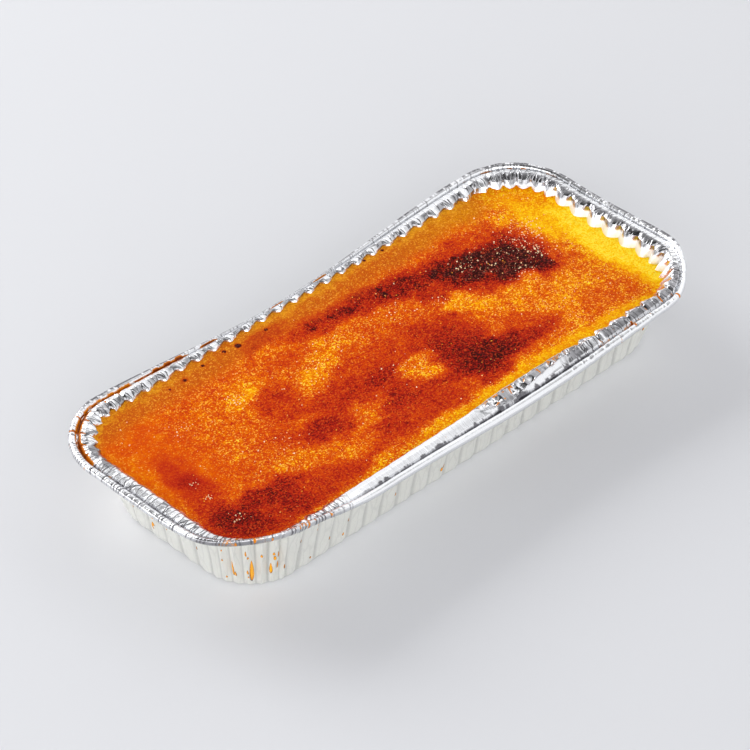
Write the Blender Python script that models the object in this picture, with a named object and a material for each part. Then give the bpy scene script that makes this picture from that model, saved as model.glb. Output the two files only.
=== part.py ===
"""Crema catalana in its aluminium-foil tray: the tray and the set custard.

Units are metres, +Z up, and the tray stands on Z = 0 with its length along X.
"""

import math

import bmesh
import bpy

MM = 0.001

# --- Outer sizes of the tray
LENGTH = 215.0 * MM
WIDTH = 96.8 * MM
RIM_RADIUS = 26.0 * MM
FOIL = 0.35 * MM
GAP = 0.3 * MM

# --- Rolled bead along the rim, and the flange between bead and lip
BEAD_RADIUS = 1.4 * MM
BEAD_Z = 27.1 * MM
BEAD_ANGLES = (-140, -70, 0, 70, 140)
LIP_INSET = 8.45 * MM
LIP_Z = 28.0 * MM
LIP_RADIUS = RIM_RADIUS - LIP_INSET
LIP_ROUNDING = 0.4 * MM
FLANGE_START = LIP_ROUNDING / LIP_INSET
FLANGE_MIDDLE = 0.62

# --- Pleated wall: (height, inset of the outer folds, inset of the inner folds)
CUSTARD_Z = 24.8 * MM
WALL_LEVELS = (
    (1.9 * MM, 13.6 * MM, 14.3 * MM),
    (10.0 * MM, 11.5 * MM, 13.1 * MM),
    (CUSTARD_Z, 7.0 * MM, 9.9 * MM),
)
WALL_RADIUS = 18.5 * MM
FLOOR_INSET = 15.3 * MM
FLOOR_EDGE_INSET = 14.3 * MM
FLOOR_EDGE_Z = 0.55 * MM
FLOOR_RADIUS = 18.0 * MM

# --- Number of pleats, and where in its pitch each pleat folds inward
LONG_PLEATS = 23
SHORT_PLEATS = 6
CORNER_PLEATS = 5
LONG_FOLD = 0.3
SHORT_FOLD = 0.45
PLEAT_SHIFT = -1.0 * MM

# --- Custard: it meets the wall at its top level, and rises slightly towards the middle
CUSTARD_MIDDLE_Z = 25.2 * MM
CUSTARD_SHOULDER = 4.0 * MM

# --- Bends of the rim: (place along the rim, half width, rise, inward shift)
HALF_LONG = 0.5 * LENGTH - RIM_RADIUS
HALF_SHORT = 0.5 * WIDTH - RIM_RADIUS
CORNER_ARC = 0.5 * math.pi * RIM_RADIUS
PERIMETER = 4.0 * (HALF_LONG + HALF_SHORT + CORNER_ARC)
FAR_SIDE_START = 2.0 * (HALF_LONG + HALF_SHORT + CORNER_ARC)
RIM_BENDS = (
    (HALF_LONG + 22.0 * MM, 70.0 * MM, -2.6 * MM, 0.0),
    (FAR_SIDE_START + HALF_LONG + 6.0 * MM, 88.0 * MM, -3.9 * MM, 1.8 * MM),
    (-0.25 * CORNER_ARC, 45.0 * MM, 4.5 * MM, 1.0 * MM),
    (2.0 * HALF_LONG + CORNER_ARC + 1.5 * HALF_SHORT, 40.0 * MM, -1.4 * MM, 0.0),
)

FOIL_COLOUR = (0.80, 0.81, 0.82, 1.0)
CUSTARD_COLOUR = (0.75, 0.27, 0.02, 1.0)


def clear_scene():
    """Remove every object that a new file holds."""
    for old in list(bpy.data.objects):
        bpy.data.objects.remove(old, do_unlink=True)


def principled(name, colour, roughness, metallic):
    """Make a plain Principled material."""
    material = bpy.data.materials.new(name)
    material.use_nodes = True
    shader = material.node_tree.nodes["Principled BSDF"]
    shader.inputs["Base Color"].default_value = colour
    shader.inputs["Roughness"].default_value = roughness
    shader.inputs["Metallic"].default_value = metallic
    material.diffuse_color = colour
    return material


def rim_bend(place):
    """Return the rise and the inward shift of the bead at a place along the rim."""
    rise = 0.0
    shift = 0.0
    for centre, half_width, height, inward in RIM_BENDS:
        away = (place - centre + 0.5 * PERIMETER) % PERIMETER - 0.5 * PERIMETER
        if abs(away) < half_width:
            weight = 0.5 + 0.5 * math.cos(math.pi * away / half_width)
            rise += height * weight
            shift += inward * weight
    return rise, shift


def outline_point(place, inset, radius):
    """Return the plan position of a place along the rim, moved inward by an inset.

    The place is measured along the straight sides and the corner arcs of the rim,
    from the start of the near long side, counter-clockwise seen from above.
    """
    straight = (0.5 * LENGTH - inset - radius, 0.5 * WIDTH - inset - radius)
    halves = (HALF_LONG, HALF_SHORT)
    place = place % PERIMETER
    for side in range(4):
        half, other = halves[side % 2], halves[1 - side % 2]
        run, other_run = straight[side % 2], straight[1 - side % 2]
        if place <= 2.0 * half + CORNER_ARC + 1e-9:
            break
        place -= 2.0 * half + CORNER_ARC
    along = place - half
    corner_span = (half - run) + CORNER_ARC + (other - other_run)
    turn = math.radians(90.0 * side)
    if along < -run:
        bend = -math.radians(90.0) * (-run - along) / corner_span
        centre = -run
    elif along > run:
        bend = math.radians(90.0) * (along - run) / corner_span
        centre = run
    else:
        bend = 0.0
        centre = along
    x = centre + radius * math.sin(bend)
    y = -other_run - radius * math.cos(bend)
    return (
        x * math.cos(turn) - y * math.sin(turn),
        x * math.sin(turn) + y * math.cos(turn),
    )


def pleat_places():
    """List each fold of the wall as (place along the rim, is it an inner fold)."""
    spans = []
    start = PLEAT_SHIFT
    for half, count, fold in (
        (HALF_LONG, LONG_PLEATS, LONG_FOLD),
        (HALF_SHORT, SHORT_PLEATS, SHORT_FOLD),
        (HALF_LONG, LONG_PLEATS, 1.0 - LONG_FOLD),
        (HALF_SHORT, SHORT_PLEATS, 1.0 - SHORT_FOLD),
    ):
        spans.append((start, 2.0 * half, count, fold))
        spans.append((start + 2.0 * half, CORNER_ARC, CORNER_PLEATS, 0.5))
        start += 2.0 * half + CORNER_ARC
    folds = []
    for span_start, length, count, fold in spans:
        for index in range(count):
            pitch = length / count
            folds.append((span_start + pitch * index, False))
            folds.append((span_start + pitch * (index + fold), True))
    return folds


FOLDS = pleat_places()


def plain_ring(inset, height, radius):
    """Return a ring of points on an unpleated outline."""
    return [outline_point(place, inset, radius) + (height,) for place, _ in FOLDS]


def pleated_ring(height, outer_inset, inner_inset):
    """Return a ring of points that zigzags between the outer and inner folds."""
    ring = []
    for place, folds_inward in FOLDS:
        inset = inner_inset if folds_inward else outer_inset
        radius = WALL_RADIUS - (inset - outer_inset)
        ring.append(outline_point(place, inset, radius) + (height,))
    return ring


def moved_inward(ring, distance):
    """Return the ring offset inward in plan by the same distance at every edge."""
    moved = []
    count = len(ring)
    for index, (x, y, z) in enumerate(ring):
        before = ring[index - 1]
        after = ring[(index + 1) % count]
        normals = []
        for first, second in ((before, ring[index]), (ring[index], after)):
            dx = second[0] - first[0]
            dy = second[1] - first[1]
            size = math.hypot(dx, dy)
            normals.append((-dy / size, dx / size))
        mx = normals[0][0] + normals[1][0]
        my = normals[0][1] + normals[1][1]
        share = 1.0 + normals[0][0] * normals[1][0] + normals[0][1] * normals[1][1]
        moved.append((x + distance * mx / share, y + distance * my / share, z))
    return moved


def flange_ring(share, side):
    """Return a ring on one face of the flange, at a share of the way to the bead."""
    ring = []
    for place, _ in FOLDS:
        rise, shift = rim_bend(place)
        bead_inset = BEAD_RADIUS + shift
        inset = LIP_INSET + (bead_inset - LIP_INSET) * share
        height = LIP_Z + (BEAD_Z + rise - LIP_Z) * share + side * 0.5 * FOIL
        ring.append(outline_point(place, inset, RIM_RADIUS - inset) + (height,))
    return ring


def bead_ring(angle):
    """Return a ring on the bead, at an angle up from the outward direction."""
    ring = []
    for place, _ in FOLDS:
        rise, shift = rim_bend(place)
        inset = BEAD_RADIUS + shift - BEAD_RADIUS * math.cos(math.radians(angle))
        height = BEAD_Z + rise + BEAD_RADIUS * math.sin(math.radians(angle))
        ring.append(outline_point(place, inset, RIM_RADIUS - inset) + (height,))
    return ring


def solid_from_rings(name, rings, material, sharp_angle):
    """Loft a closed solid through rings, and cap the first and the last ring."""
    mesh = bpy.data.meshes.new(name)
    model = bmesh.new()
    loops = [[model.verts.new(point) for point in ring] for ring in rings]
    count = len(loops[0])
    for lower, upper in zip(loops, loops[1:]):
        for index in range(count):
            after = (index + 1) % count
            quad = [lower[index], lower[after], upper[after], upper[index]]
            if lower[index].co.z > upper[index].co.z:
                quad = quad[3:] + quad[:3]
            model.faces.new((quad[0], quad[1], quad[2]))
            model.faces.new((quad[0], quad[2], quad[3]))
    model.faces.new(list(reversed(loops[0])))
    model.faces.new(loops[-1])
    bmesh.ops.recalc_face_normals(model, faces=model.faces)
    model.to_mesh(mesh)
    model.free()
    mesh.materials.append(material)
    mesh.shade_smooth()
    mesh.set_sharp_from_angle(angle=math.radians(sharp_angle))
    solid = bpy.data.objects.new(name, mesh)
    bpy.context.scene.collection.objects.link(solid)
    return solid


def make_tray():
    """Make the pleated foil tray with its lip, flange and rolled bead."""
    wall = [pleated_ring(*level) for level in WALL_LEVELS]
    outside = [
        plain_ring(FLOOR_INSET, 0.0, FLOOR_RADIUS),
        plain_ring(FLOOR_EDGE_INSET, FLOOR_EDGE_Z, FLOOR_RADIUS),
    ]
    outside += wall
    outside.append(flange_ring(FLANGE_START, -1.0))
    outside.append(flange_ring(FLANGE_MIDDLE, -1.0))
    rim = [bead_ring(angle) for angle in BEAD_ANGLES]
    inside = [
        flange_ring(FLANGE_MIDDLE, 1.0),
        flange_ring(FLANGE_START, 1.0),
        plain_ring(LIP_INSET + LIP_ROUNDING, LIP_Z - LIP_ROUNDING, LIP_RADIUS - LIP_ROUNDING),
    ]
    inside += [moved_inward(ring, FOIL) for ring in reversed(wall)]
    inside.append(plain_ring(FLOOR_EDGE_INSET + FOIL, FLOOR_EDGE_Z + FOIL, FLOOR_RADIUS))
    inside.append(plain_ring(FLOOR_INSET + FOIL, FOIL, FLOOR_RADIUS))
    foil = principled("aluminium_foil", FOIL_COLOUR, 0.3, 1.0)
    return solid_from_rings("foil_tray", outside + rim + inside, foil, 35.0)


def make_custard():
    """Make the set custard, solid from the floor of the tray up to its crust."""
    clear = FOIL + GAP
    shoulder_inset = WALL_LEVELS[-1][2] + CUSTARD_SHOULDER
    rings = [
        plain_ring(FLOOR_INSET + clear + GAP, clear, FLOOR_RADIUS),
        plain_ring(FLOOR_EDGE_INSET + clear + GAP, FLOOR_EDGE_Z + clear, FLOOR_RADIUS),
    ]
    rings += [moved_inward(pleated_ring(*level), clear) for level in WALL_LEVELS]
    rings.append(plain_ring(shoulder_inset, CUSTARD_MIDDLE_Z, WALL_RADIUS - CUSTARD_SHOULDER))
    custard = principled("baked_custard", CUSTARD_COLOUR, 0.4, 0.0)
    return solid_from_rings("custard", rings, custard, 40.0)


clear_scene()
make_tray()
make_custard()
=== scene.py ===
"""Crema catalana in its pleated foil tray: the finished look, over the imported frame."""

import math

import bpy
import numpy as np
from collections import namedtuple
from functools import partial
from mathutils import Matrix, Vector


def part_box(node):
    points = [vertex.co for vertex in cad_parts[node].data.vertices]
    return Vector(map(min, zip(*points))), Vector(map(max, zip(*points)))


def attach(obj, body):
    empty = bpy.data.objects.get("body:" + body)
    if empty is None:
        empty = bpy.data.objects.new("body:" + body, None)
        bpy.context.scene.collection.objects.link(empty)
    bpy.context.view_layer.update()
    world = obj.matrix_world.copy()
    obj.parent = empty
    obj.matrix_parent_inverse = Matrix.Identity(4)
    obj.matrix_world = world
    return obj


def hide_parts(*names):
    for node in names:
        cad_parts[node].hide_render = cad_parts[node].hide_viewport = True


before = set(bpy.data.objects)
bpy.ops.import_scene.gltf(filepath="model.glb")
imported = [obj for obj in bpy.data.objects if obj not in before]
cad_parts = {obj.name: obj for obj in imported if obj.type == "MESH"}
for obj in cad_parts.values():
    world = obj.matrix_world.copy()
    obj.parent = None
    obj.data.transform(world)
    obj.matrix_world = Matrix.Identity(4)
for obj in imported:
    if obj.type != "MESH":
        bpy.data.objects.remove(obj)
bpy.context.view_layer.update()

bl_info = {
    "name": "Crema Catalana in a Foil Tray",
    "version": (1, 0, 0),
    "blender": (4, 5, 0),
    "location": "3D View > Sidebar > Crema Catalana",
    "description": "Models a pleated foil tray filled with custard under a burnt sugar crust",
    "category": "Add Mesh",
}

MM = 0.001

# --- Sizes read from the frame, in millimetres like all the sizes below
TRAY_LOW, TRAY_HIGH = (np.array(corner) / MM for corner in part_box("foil_tray"))
HALF_LENGTH = 0.5 * (TRAY_HIGH[0] - TRAY_LOW[0])
HALF_WIDTH = 0.5 * (TRAY_HIGH[1] - TRAY_LOW[1])
CRUST_WAVES = 0.3
CUSTARD_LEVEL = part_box("custard")[1][2] / MM - CRUST_WAVES

# --- The rim's outline: a rectangle with round corners, walked counter-clockwise.
# A place along the rim is the length walked from the left end of the near side.
RIM_RADIUS = 26.0
HALF_LONG = HALF_LENGTH - RIM_RADIUS
HALF_SHORT = HALF_WIDTH - RIM_RADIUS
CORNER_ARC = 0.5 * math.pi * RIM_RADIUS
PERIMETER = 4.0 * (HALF_LONG + HALF_SHORT + CORNER_ARC)
RIGHT_SIDE = 2.0 * HALF_LONG + CORNER_ARC
FAR_SIDE = RIGHT_SIDE + 2.0 * HALF_SHORT + CORNER_ARC
LEFT_SIDE = FAR_SIDE + 2.0 * HALF_LONG + CORNER_ARC
SIDE_STARTS = np.array([0.0, RIGHT_SIDE, FAR_SIDE, LEFT_SIDE])
RIGHT_END = RIGHT_SIDE + 2.0 * HALF_SHORT
FAR_END = FAR_SIDE + 2.0 * HALF_LONG
# The near side's stretch that is pressed smooth.
NEAR_SMOOTH = (26.0, 112.0)

# --- Heights and insets of the tray's profile. Insets are measured inward from the outline.
# A travel across the rim counts from the wall's top: wall below 0, lip, flange, groove, bead.
LIP_Z = 28.0
FLANGE_END_INSET = 3.7
FLANGE_END_Z = 27.6
GROOVE = ((3.35, 27.15), (3.02, 26.6))
GROOVE_TRAVEL = 7.0
BEAD_Z = 27.1
# Rings that have travelled further than the limit lie on the bead, which starts a bit later.
# The floor is past every mark.
BEAD_TRAVEL = 9.0
BEAD_START = 10.0
FLOOR_TRAVEL = 40.0
# Thickness of the modelled sheet, and how far the wall's top is tucked up into the lip.
SHEET = 0.28
TUCK = 0.1
# Steps over the lip and the flange, and the bead's first turn, end and step in degrees.
LIP_STEPS = 8
FLANGE_STEPS = 6
BEAD_TURNS = (200, -151, -27)
# Least corner radius, and the inset at which a ring takes its full share of the rim's bends.
LEAST_RADIUS = 2.0
FULL_SHARE_INSET = 1.4
# The way back under the rim: one ring below the bead, at a share of the flange and a depth
# under it, then shares of the flange and of the lip.
BEAD_TUCK = (1.25, 1.1)
UNDER_FLANGE = (0.8, 0.3)
UNDER_LIP = (0.0, 0.35, 0.7, 1.0)
# Depth below the wall's top over which the rim's creases fade out.
CREASE_REACH = 7.0

# Height, inset of the outer folds and inset of the inner folds of the pleated wall.
WALL = (
    (26.8, 7.35, 8.7),
    (26.2, 7.35, 9.15),
    (25.5, 7.45, 9.55),
    (24.8, 7.65, 9.95),
    (24.0, 7.95, 10.35),
    (23.0, 8.25, 10.8),
    (22.0, 8.5, 11.2),
    (18.0, 9.4, 11.7),
    (10.0, 11.5, 13.2),
    (3.5, 13.25, 14.15),
    (2.0, 13.7, 14.4),
    (1.0, 14.1, 14.75),
    (0.4, 14.8, 15.2),
    (0.05, 15.9, 16.0),
)
# Heights of the rings on the wall's outside, from the floor up, and on its inside, down again.
OUTER_HEIGHTS = (
    0.05, 0.4, 1.0, 2.0, 3.5, 5.5, 8.0, 10.5, 13.0, 15.5, 18.0, 20.0, 22.0, 23.0, 24.0, 24.8, 25.5,
    26.2, 26.6)
INNER_HEIGHTS = (
    26.6, 26.2, 25.8, 25.4, 24.9, 24.4, 23.9, 23.4, 22.9, 22.3, 20.0, 10.0, 2.0, 0.6)
WALL_TOP_Z = WALL[0][0]
WALL_TOP_INSET = 0.5 * (WALL[0][1] + WALL[0][2])
WALL_TOP_PLEAT = 0.5 * (WALL[0][2] - WALL[0][1])
LIP_REACH = 2.45
LIP_TRAVEL = 3.8
LIP_RISE = LIP_Z - WALL_TOP_Z
LIP_SLOPE = 2.0 * LIP_RISE / LIP_REACH
FLANGE_START = WALL_TOP_INSET - LIP_REACH
WALL_RADIUS_TOP = RIM_RADIUS - WALL_TOP_INSET
WALL_RADIUS_BASE = 18.5
FLOOR_INSETS = (17.5, 22.0, 30.0, 42.0)

# Bends of the rim: (place along it, half width, lift, inward shift).
RIM_BENDS = (
    (HALF_LONG + 22.0, 70.0, -2.6, 0.0),
    (FAR_SIDE + HALF_LONG + 6.0, 88.0, -3.9, 1.8),
    (-0.25 * CORNER_ARC, 45.0, 4.5, 1.0),
    (RIGHT_SIDE - 0.5 * CORNER_ARC, 26.0, 0.0, 1.6),
    (RIGHT_SIDE + 1.5 * HALF_SHORT, 40.0, -1.4, 0.0),
)

# Stretches where the rim is smoother: (start, end, share of the folds that is lost).
SMOOTH_STRETCHES = (
    (*NEAR_SMOOTH, 0.95),
    (RIGHT_SIDE - 4.0, RIGHT_END, 0.7),
    (FAR_SIDE + 14.0, FAR_END - 16.0, 0.85),
    (LEFT_SIDE - 2.0, PERIMETER - 26.0, 0.92),
)

# The crumpled fold on the near flange: (place, inset of its ridge, depth of its dent).
FOLD_LINE = (
    (78.5, 7.4, 0.0),
    (82.0, 5.6, 0.6),
    (87.0, 3.9, 1.1),
    (92.0, 3.5, 1.2),
    (98.0, 4.4, 1.2),
    (104.0, 5.1, 1.2),
    (112.0, 5.7, 1.1),
    (122.0, 6.2, 0.9),
    (132.0, 6.6, 0.5),
    (140.0, 7.0, 0.0),
)

FACET_COUNT = 110
# The crumpled fold ends at this share of the rim, before the bead.
FOLD_SHARE = 0.85

# Fine creases across the rim: (spacing, width, seed).
RIM_CREASES = (1.9, 0.42, 21)
FINE_RIM_CREASES = (1.3, 0.36, 22)
BEAD_CREASES = (1.25, 0.36, 33)
WIDE_BEAD_CREASES = (2.7, 0.5, 34)

# Burnt sugar in the groove: (place, half width, amount).
GROOVE_STAINS = (
    (FAR_SIDE - 0.4 * CORNER_ARC, 32.0, 0.62),
    (FAR_SIDE + HALF_LONG - 12.0, 5.0, 0.8),
    (FAR_SIDE + HALF_LONG + 8.0, 6.0, 0.9),
    (FAR_SIDE + HALF_LONG + 36.5, 6.0, 1.2),
    (FAR_SIDE + HALF_LONG + 53.5, 11.0, 1.4),
    (LEFT_SIDE - 0.75 * CORNER_ARC, 52.0, 1.0),
    (HALF_LONG + 62.0, 18.0, 0.5),
)

# Stretches whose folds hold some sugar: (place, half width, amount).
FOLD_STAINS = (
    (HALF_LONG + 68.0, 34.0, 1.0),
    (16.0, 24.0, 0.55),
    (LEFT_SIDE - 0.5 * CORNER_ARC, 30.0, 1.0),
    (RIGHT_SIDE + HALF_SHORT, 34.0, 0.35),
)

# One ring of the tray's section: its inset and height, its travel across the rim, the radius of
# its corners, the half depth of its pleats, its share of the rim's bends, the lean of its normal,
# and the depths of its panels and fine creases.
Station = namedtuple(
    "Station", "inset height travel radius pleat share lean panel hatch", defaults=(0.0,) * 5)


# ------------------------------------------------------------------ settings

def linear(hex_code):
    """Return the linear RGBA colour of an sRGB hex code."""
    channels = [int(hex_code[start:start + 2], 16) / 255.0 for start in (0, 2, 4)]
    return tuple(
        c / 12.92 if c <= 0.04045 else ((c + 0.055) / 1.055) ** 2.4 for c in channels
    ) + (1.0,)


def size_setting(name, description, default, low, high):
    """Return a setting for a size in millimetres."""
    return bpy.props.FloatProperty(
        name=name, description=description + ", in millimetres", default=default, min=low, max=high)


def count_setting(name, description, default, low, high):
    """Return a setting for a number of things."""
    return bpy.props.IntProperty(
        name=name, description="Number of " + description, default=default, min=low, max=high)


def colour_setting(name, description, hex_code):
    """Return a setting for a colour."""
    return bpy.props.FloatVectorProperty(
        name=name, description=description, subtype="COLOR", size=4, default=linear(hex_code))


def power_setting(name, description, default):
    """Return a setting for the power of a light."""
    return bpy.props.FloatProperty(
        name=name, description=description, default=default, min=0.0, unit="POWER")


class TraySettings(bpy.types.PropertyGroup):
    """Sizes and finish of the foil tray."""

    bead_radius: size_setting("Bead Radius", "Radius of the rolled edge", 1.3, 0.5, 3.0)
    panel_depth: size_setting(
        "Panel Depth", "Depth of the folds between the panels", 0.75, 0.0, 2.0)
    hatch_depth: size_setting(
        "Hatch Depth", "Depth of the fine creases of the rim", 0.13, 0.0, 1.0)
    around: count_setting("Steps Around", "mesh steps around the tray", 2500, 400, 2500)
    foil_colour: colour_setting(
        "Foil Colour", "Colour of the bright side of the aluminium", "F2F3F5")
    matte_colour: colour_setting(
        "Matte Colour", "Colour of the matte outside of the aluminium", "EDEDE8")


class CustardSettings(bpy.types.PropertyGroup):
    """Sizes and colours of the custard and its burnt sugar."""

    along: count_setting("Steps Along", "mesh steps along the custard", 480, 120, 480)
    across: count_setting("Steps Across", "mesh steps across the custard", 190, 90, 190)
    grain_count: count_setting("Sugar Grains", "loose grains on the crust", 4200, 0, 12000)
    band_left: colour_setting(
        "Far Band Left", "Dull brown crust along the left of the far side", "C75C12")
    band_right: colour_setting(
        "Far Band Right", "Golden crust along the right of the far side", "DC9004")
    sugar_colour: colour_setting(
        "Sugar Colour", "Loose grains of sugar that did not melt", "FFE9C4")


class StageSettings(bpy.types.PropertyGroup):
    """Floor and lights."""

    floor_colour: colour_setting("Floor Colour", "Colour of the pale floor", "DADBDE")
    key_power: power_setting("Key Light", "Power of the large soft light behind the tray", 13.0)
    fill_power: power_setting("Fill Light", "Power of the large soft light on the left", 5.5)


# ------------------------------------------------------------------ shape helpers

def outline(place, inset, radius):
    """Return plan positions of places along the rim, moved inward by an inset."""
    place = np.mod(place, PERIMETER)
    side = np.searchsorted(SIDE_STARTS, place, side="right") - 1
    is_long = side % 2 == 0
    half = np.where(is_long, HALF_LONG, HALF_SHORT)
    other_half = np.where(is_long, HALF_SHORT, HALF_LONG)
    run = np.where(is_long, HALF_LENGTH, HALF_WIDTH) - inset - radius
    other_run = np.where(is_long, HALF_WIDTH, HALF_LENGTH) - inset - radius
    along = place - SIDE_STARTS[side] - half
    centre = np.clip(along, -run, run)
    corner_span = CORNER_ARC + (half - run) + (other_half - other_run)
    bend = 0.5 * math.pi * (along - centre) / corner_span
    x = centre + radius * np.sin(bend)
    y = -other_run - radius * np.cos(bend)
    turn = 0.5 * math.pi * side
    return (
        x * np.cos(turn) - y * np.sin(turn),
        x * np.sin(turn) + y * np.cos(turn),
    )


def smooth_step(value):
    """Return a soft step from 0 to 1."""
    value = np.clip(value, 0.0, 1.0)
    return value * value * (3.0 - 2.0 * value)


def rise(value, start, width):
    """Return a soft step from 0 at the start up to 1 after the width."""
    return smooth_step((value - start) / width)


def fall(value, end, width):
    """Return a soft step from 1 down to 0 over the width before the end."""
    return smooth_step((end - value) / width)


CELLS_ACROSS = 64
CLOUD_CELLS = 512


def ripple(along, across, seed, cells):
    """Return smooth random values from -1 to 1, which repeat after some cells along."""
    table = np.random.default_rng(seed).uniform(-1.0, 1.0, (cells, CELLS_ACROSS))
    first = np.floor(along)
    second = np.floor(across)
    u = along - first
    v = across - second
    u = u * u * (3.0 - 2.0 * u)
    v = v * v * (3.0 - 2.0 * v)
    i = first.astype(int) % cells
    j = second.astype(int) % CELLS_ACROSS
    i_next = (i + 1) % cells
    j_next = (j + 1) % CELLS_ACROSS
    low = table[i, j] * (1.0 - u) + table[i_next, j] * u
    high = table[i, j_next] * (1.0 - u) + table[i_next, j_next] * u
    return low * (1.0 - v) + high * v


def cloud(x, y, size, seed):
    """Return smooth random values from -1 to 1 over the plan, with features of that size."""
    turned_x = 0.8 * x - 0.6 * y
    turned_y = 0.6 * x + 0.8 * y
    coarse = ripple(turned_x / size, turned_y / size, seed, CLOUD_CELLS)
    fine = ripple(x * 2.1 / size + 7.3, y * 2.1 / size + 3.1, seed + 1, CLOUD_CELLS)
    return 0.7 * coarse + 0.3 * fine


def rim_ripple(place, travel, size, seed):
    """Return smooth random values round the rim, with features of about that size."""
    cells = round(PERIMETER / size)
    return ripple(place * cells / PERIMETER, travel / size + 0.0 * place, seed, cells)


def rim_away(place, centre):
    """Return how far places along the rim lie past a centre, the short way round."""
    return (place - centre + 0.5 * PERIMETER) % PERIMETER - 0.5 * PERIMETER


def window(place, centre, half_width):
    """Return 1 at a place along the rim, falling smoothly to 0 at the half width."""
    return smooth_step(1.5 * (1.0 - np.abs(rim_away(place, centre)) / half_width))


def stretch(place, start, end, soft):
    """Return 1 between two places along the rim, falling to 0 a soft width outside."""
    away = np.abs(rim_away(place, 0.5 * (start + end)))
    return smooth_step((0.5 * (end - start) + soft - away) / soft)


def rim_bend(place):
    """Return the lift and the inward shift of the bead at places along the rim."""
    lift = 0.0 * place
    shift = 0.0 * place
    for centre, half_width, height, inward in RIM_BENDS:
        away = np.clip(rim_away(place, centre) / half_width, -1.0, 1.0)
        weight = 0.5 + 0.5 * np.cos(np.pi * away)
        lift = lift + height * weight
        shift = shift + inward * weight
    return lift, shift


def fold_strength(place):
    """Return 1 where the rim is folded all over, and less where it is smooth."""
    strength = 1.0 + 0.0 * place
    for start, end, lost in SMOOTH_STRETCHES:
        strength = strength * (1.0 - lost * stretch(place, start, end, 12.0))
    return strength


# Pleats of each side: (half length, count, place of the inner fold within a pleat, first place).
SIDE_PLEATS = (
    (HALF_LONG, 23, 0.27, -1.0),
    (HALF_SHORT, 6, 0.45, 0.0),
    (HALF_LONG, 23, 0.74, 1.8),
    (HALF_SHORT, 6, 0.55, 0.0),
)
CORNER_PLEATS = 6


def pleat_folds():
    """List the folds of the wall: places along the rim, and -1 outer or 1 inner."""
    random = np.random.default_rng(11)
    places = []
    depths = []
    side = 0.0
    for half, count, fold, start in SIDE_PLEATS:
        runs = ((2.0 * half, count, fold), (CORNER_ARC, CORNER_PLEATS, 0.5))
        for length, number, share in runs:
            pitch = length / number
            for index in range(number):
                outer = side + start + pitch * index
                places += [outer, outer + pitch * share]
                depths += [-1.0, 1.0]
            side += length
            start *= 0.5
    places = np.array(places) + random.uniform(-0.25, 0.25, len(places))
    depths = np.array(depths) * random.uniform(0.8, 1.1, len(depths))
    return places, depths


PLEAT_PLACES, PLEAT_DEPTHS = pleat_folds()
OUTER_FOLDS = np.sort(np.mod(PLEAT_PLACES[PLEAT_DEPTHS < 0.0], PERIMETER))
FOLD_EDGES = np.concatenate(
    [OUTER_FOLDS[-1:] - PERIMETER, OUTER_FOLDS, OUTER_FOLDS[:1] + PERIMETER])


def pleat(place):
    """Return -1 on the wall's outer folds and 1 on its inner folds, blunter on the right side."""
    fold = np.interp(place, PLEAT_PLACES, PLEAT_DEPTHS, period=PERIMETER)
    outward = np.clip(0.5 - 0.5 * fold, 0.0, 1.2)
    rounded = stretch(place, RIGHT_SIDE - 8.0, FAR_SIDE - 12.0, 8.0)
    return 1.0 - 2.0 * outward ** (1.0 + 0.6 * rounded)


def panels(place, travel):
    """Return pillow-like panels, one for each pleat, with deep folds between them."""
    place = np.mod(place + 0.12 * travel + 0.5 * rim_ripple(place, travel, 3.0, 51), PERIMETER)
    index = np.clip(np.searchsorted(FOLD_EDGES, place), 1, len(FOLD_EDGES) - 1)
    before = place - FOLD_EDGES[index - 1]
    after = FOLD_EDGES[index] - place
    random = np.random.default_rng(23)
    depth = random.uniform(0.4, 1.1, len(FOLD_EDGES))
    tilt = random.uniform(-0.9, 0.9, len(FOLD_EDGES))[index]
    pillow = 0.0 * place
    for away, deep in ((before, depth[index - 1]), (after, depth[index])):
        fold = np.exp(-(away / 0.5) ** 2)
        shoulder = np.exp(-((away - 1.3) / 0.7) ** 2)
        pillow = pillow - deep * fold + 0.4 * deep * shoulder
    return pillow + tilt * (before / (before + after) - 0.5)


def hatches(place, travel, spacing, width, seed):
    """Return fine sharp creases that run across the rim, each with its own depth."""
    count = round(PERIMETER / spacing)
    bent = place + 0.1 * travel + 0.7 * spacing * rim_ripple(place, travel, 3.5 * spacing, seed)
    phase = bent * count / PERIMETER
    index = np.floor(phase).astype(int) % count
    random = np.random.default_rng(seed)
    depth = random.uniform(0.0, 1.0, count)[index] ** 1.6
    middle = random.uniform(0.4, 0.6, count)[index]
    deepest = random.uniform(-1.0, 10.0, count)[index]
    reach = random.uniform(2.5, 9.0, count)[index]
    away = np.abs(phase % 1.0 - middle) * spacing
    crease = np.maximum(0.0, 1.0 - away / width)
    return -depth * crease * smooth_step(1.7 - np.abs(travel - deepest) / reach)


def facets(place, inset):
    """Return the crumpled foil of the fold: 0 in its pits, about 1 on its sharp creases."""
    random = np.random.default_rng(67)
    pits = random.uniform(FOLD_LINE[0][0] - 3.0, FOLD_LINE[-1][0] + 3.0, FACET_COUNT)
    pit_insets = random.uniform(3.5, 10.5, FACET_COUNT)
    away = np.hypot(place[:, None] - pits, 1.4 * (inset - pit_insets))
    return np.minimum(away.min(axis=1), 1.6)


def fold_pocket(place, inset):
    """Return how deep the crumpled fold is at each place, and how far an inset is past its ridge."""
    places, insets, depths = np.array(FOLD_LINE).T
    ridge = np.interp(place, places, insets)
    depth = np.interp(place, places, depths, left=0.0, right=0.0)
    return depth, inset - ridge


def fold_dent(place, inset):
    """Return how the near flange is pushed down beside the ridge of its crumpled fold."""
    depth, beyond = fold_pocket(place, inset)
    crest = np.exp(-((beyond + 0.3) / 0.5) ** 2)
    pocket = smooth_step(beyond / 0.7) * (0.9 + 0.7 * (0.9 - facets(place, inset)))
    return depth * (0.6 * crest - pocket)


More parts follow.
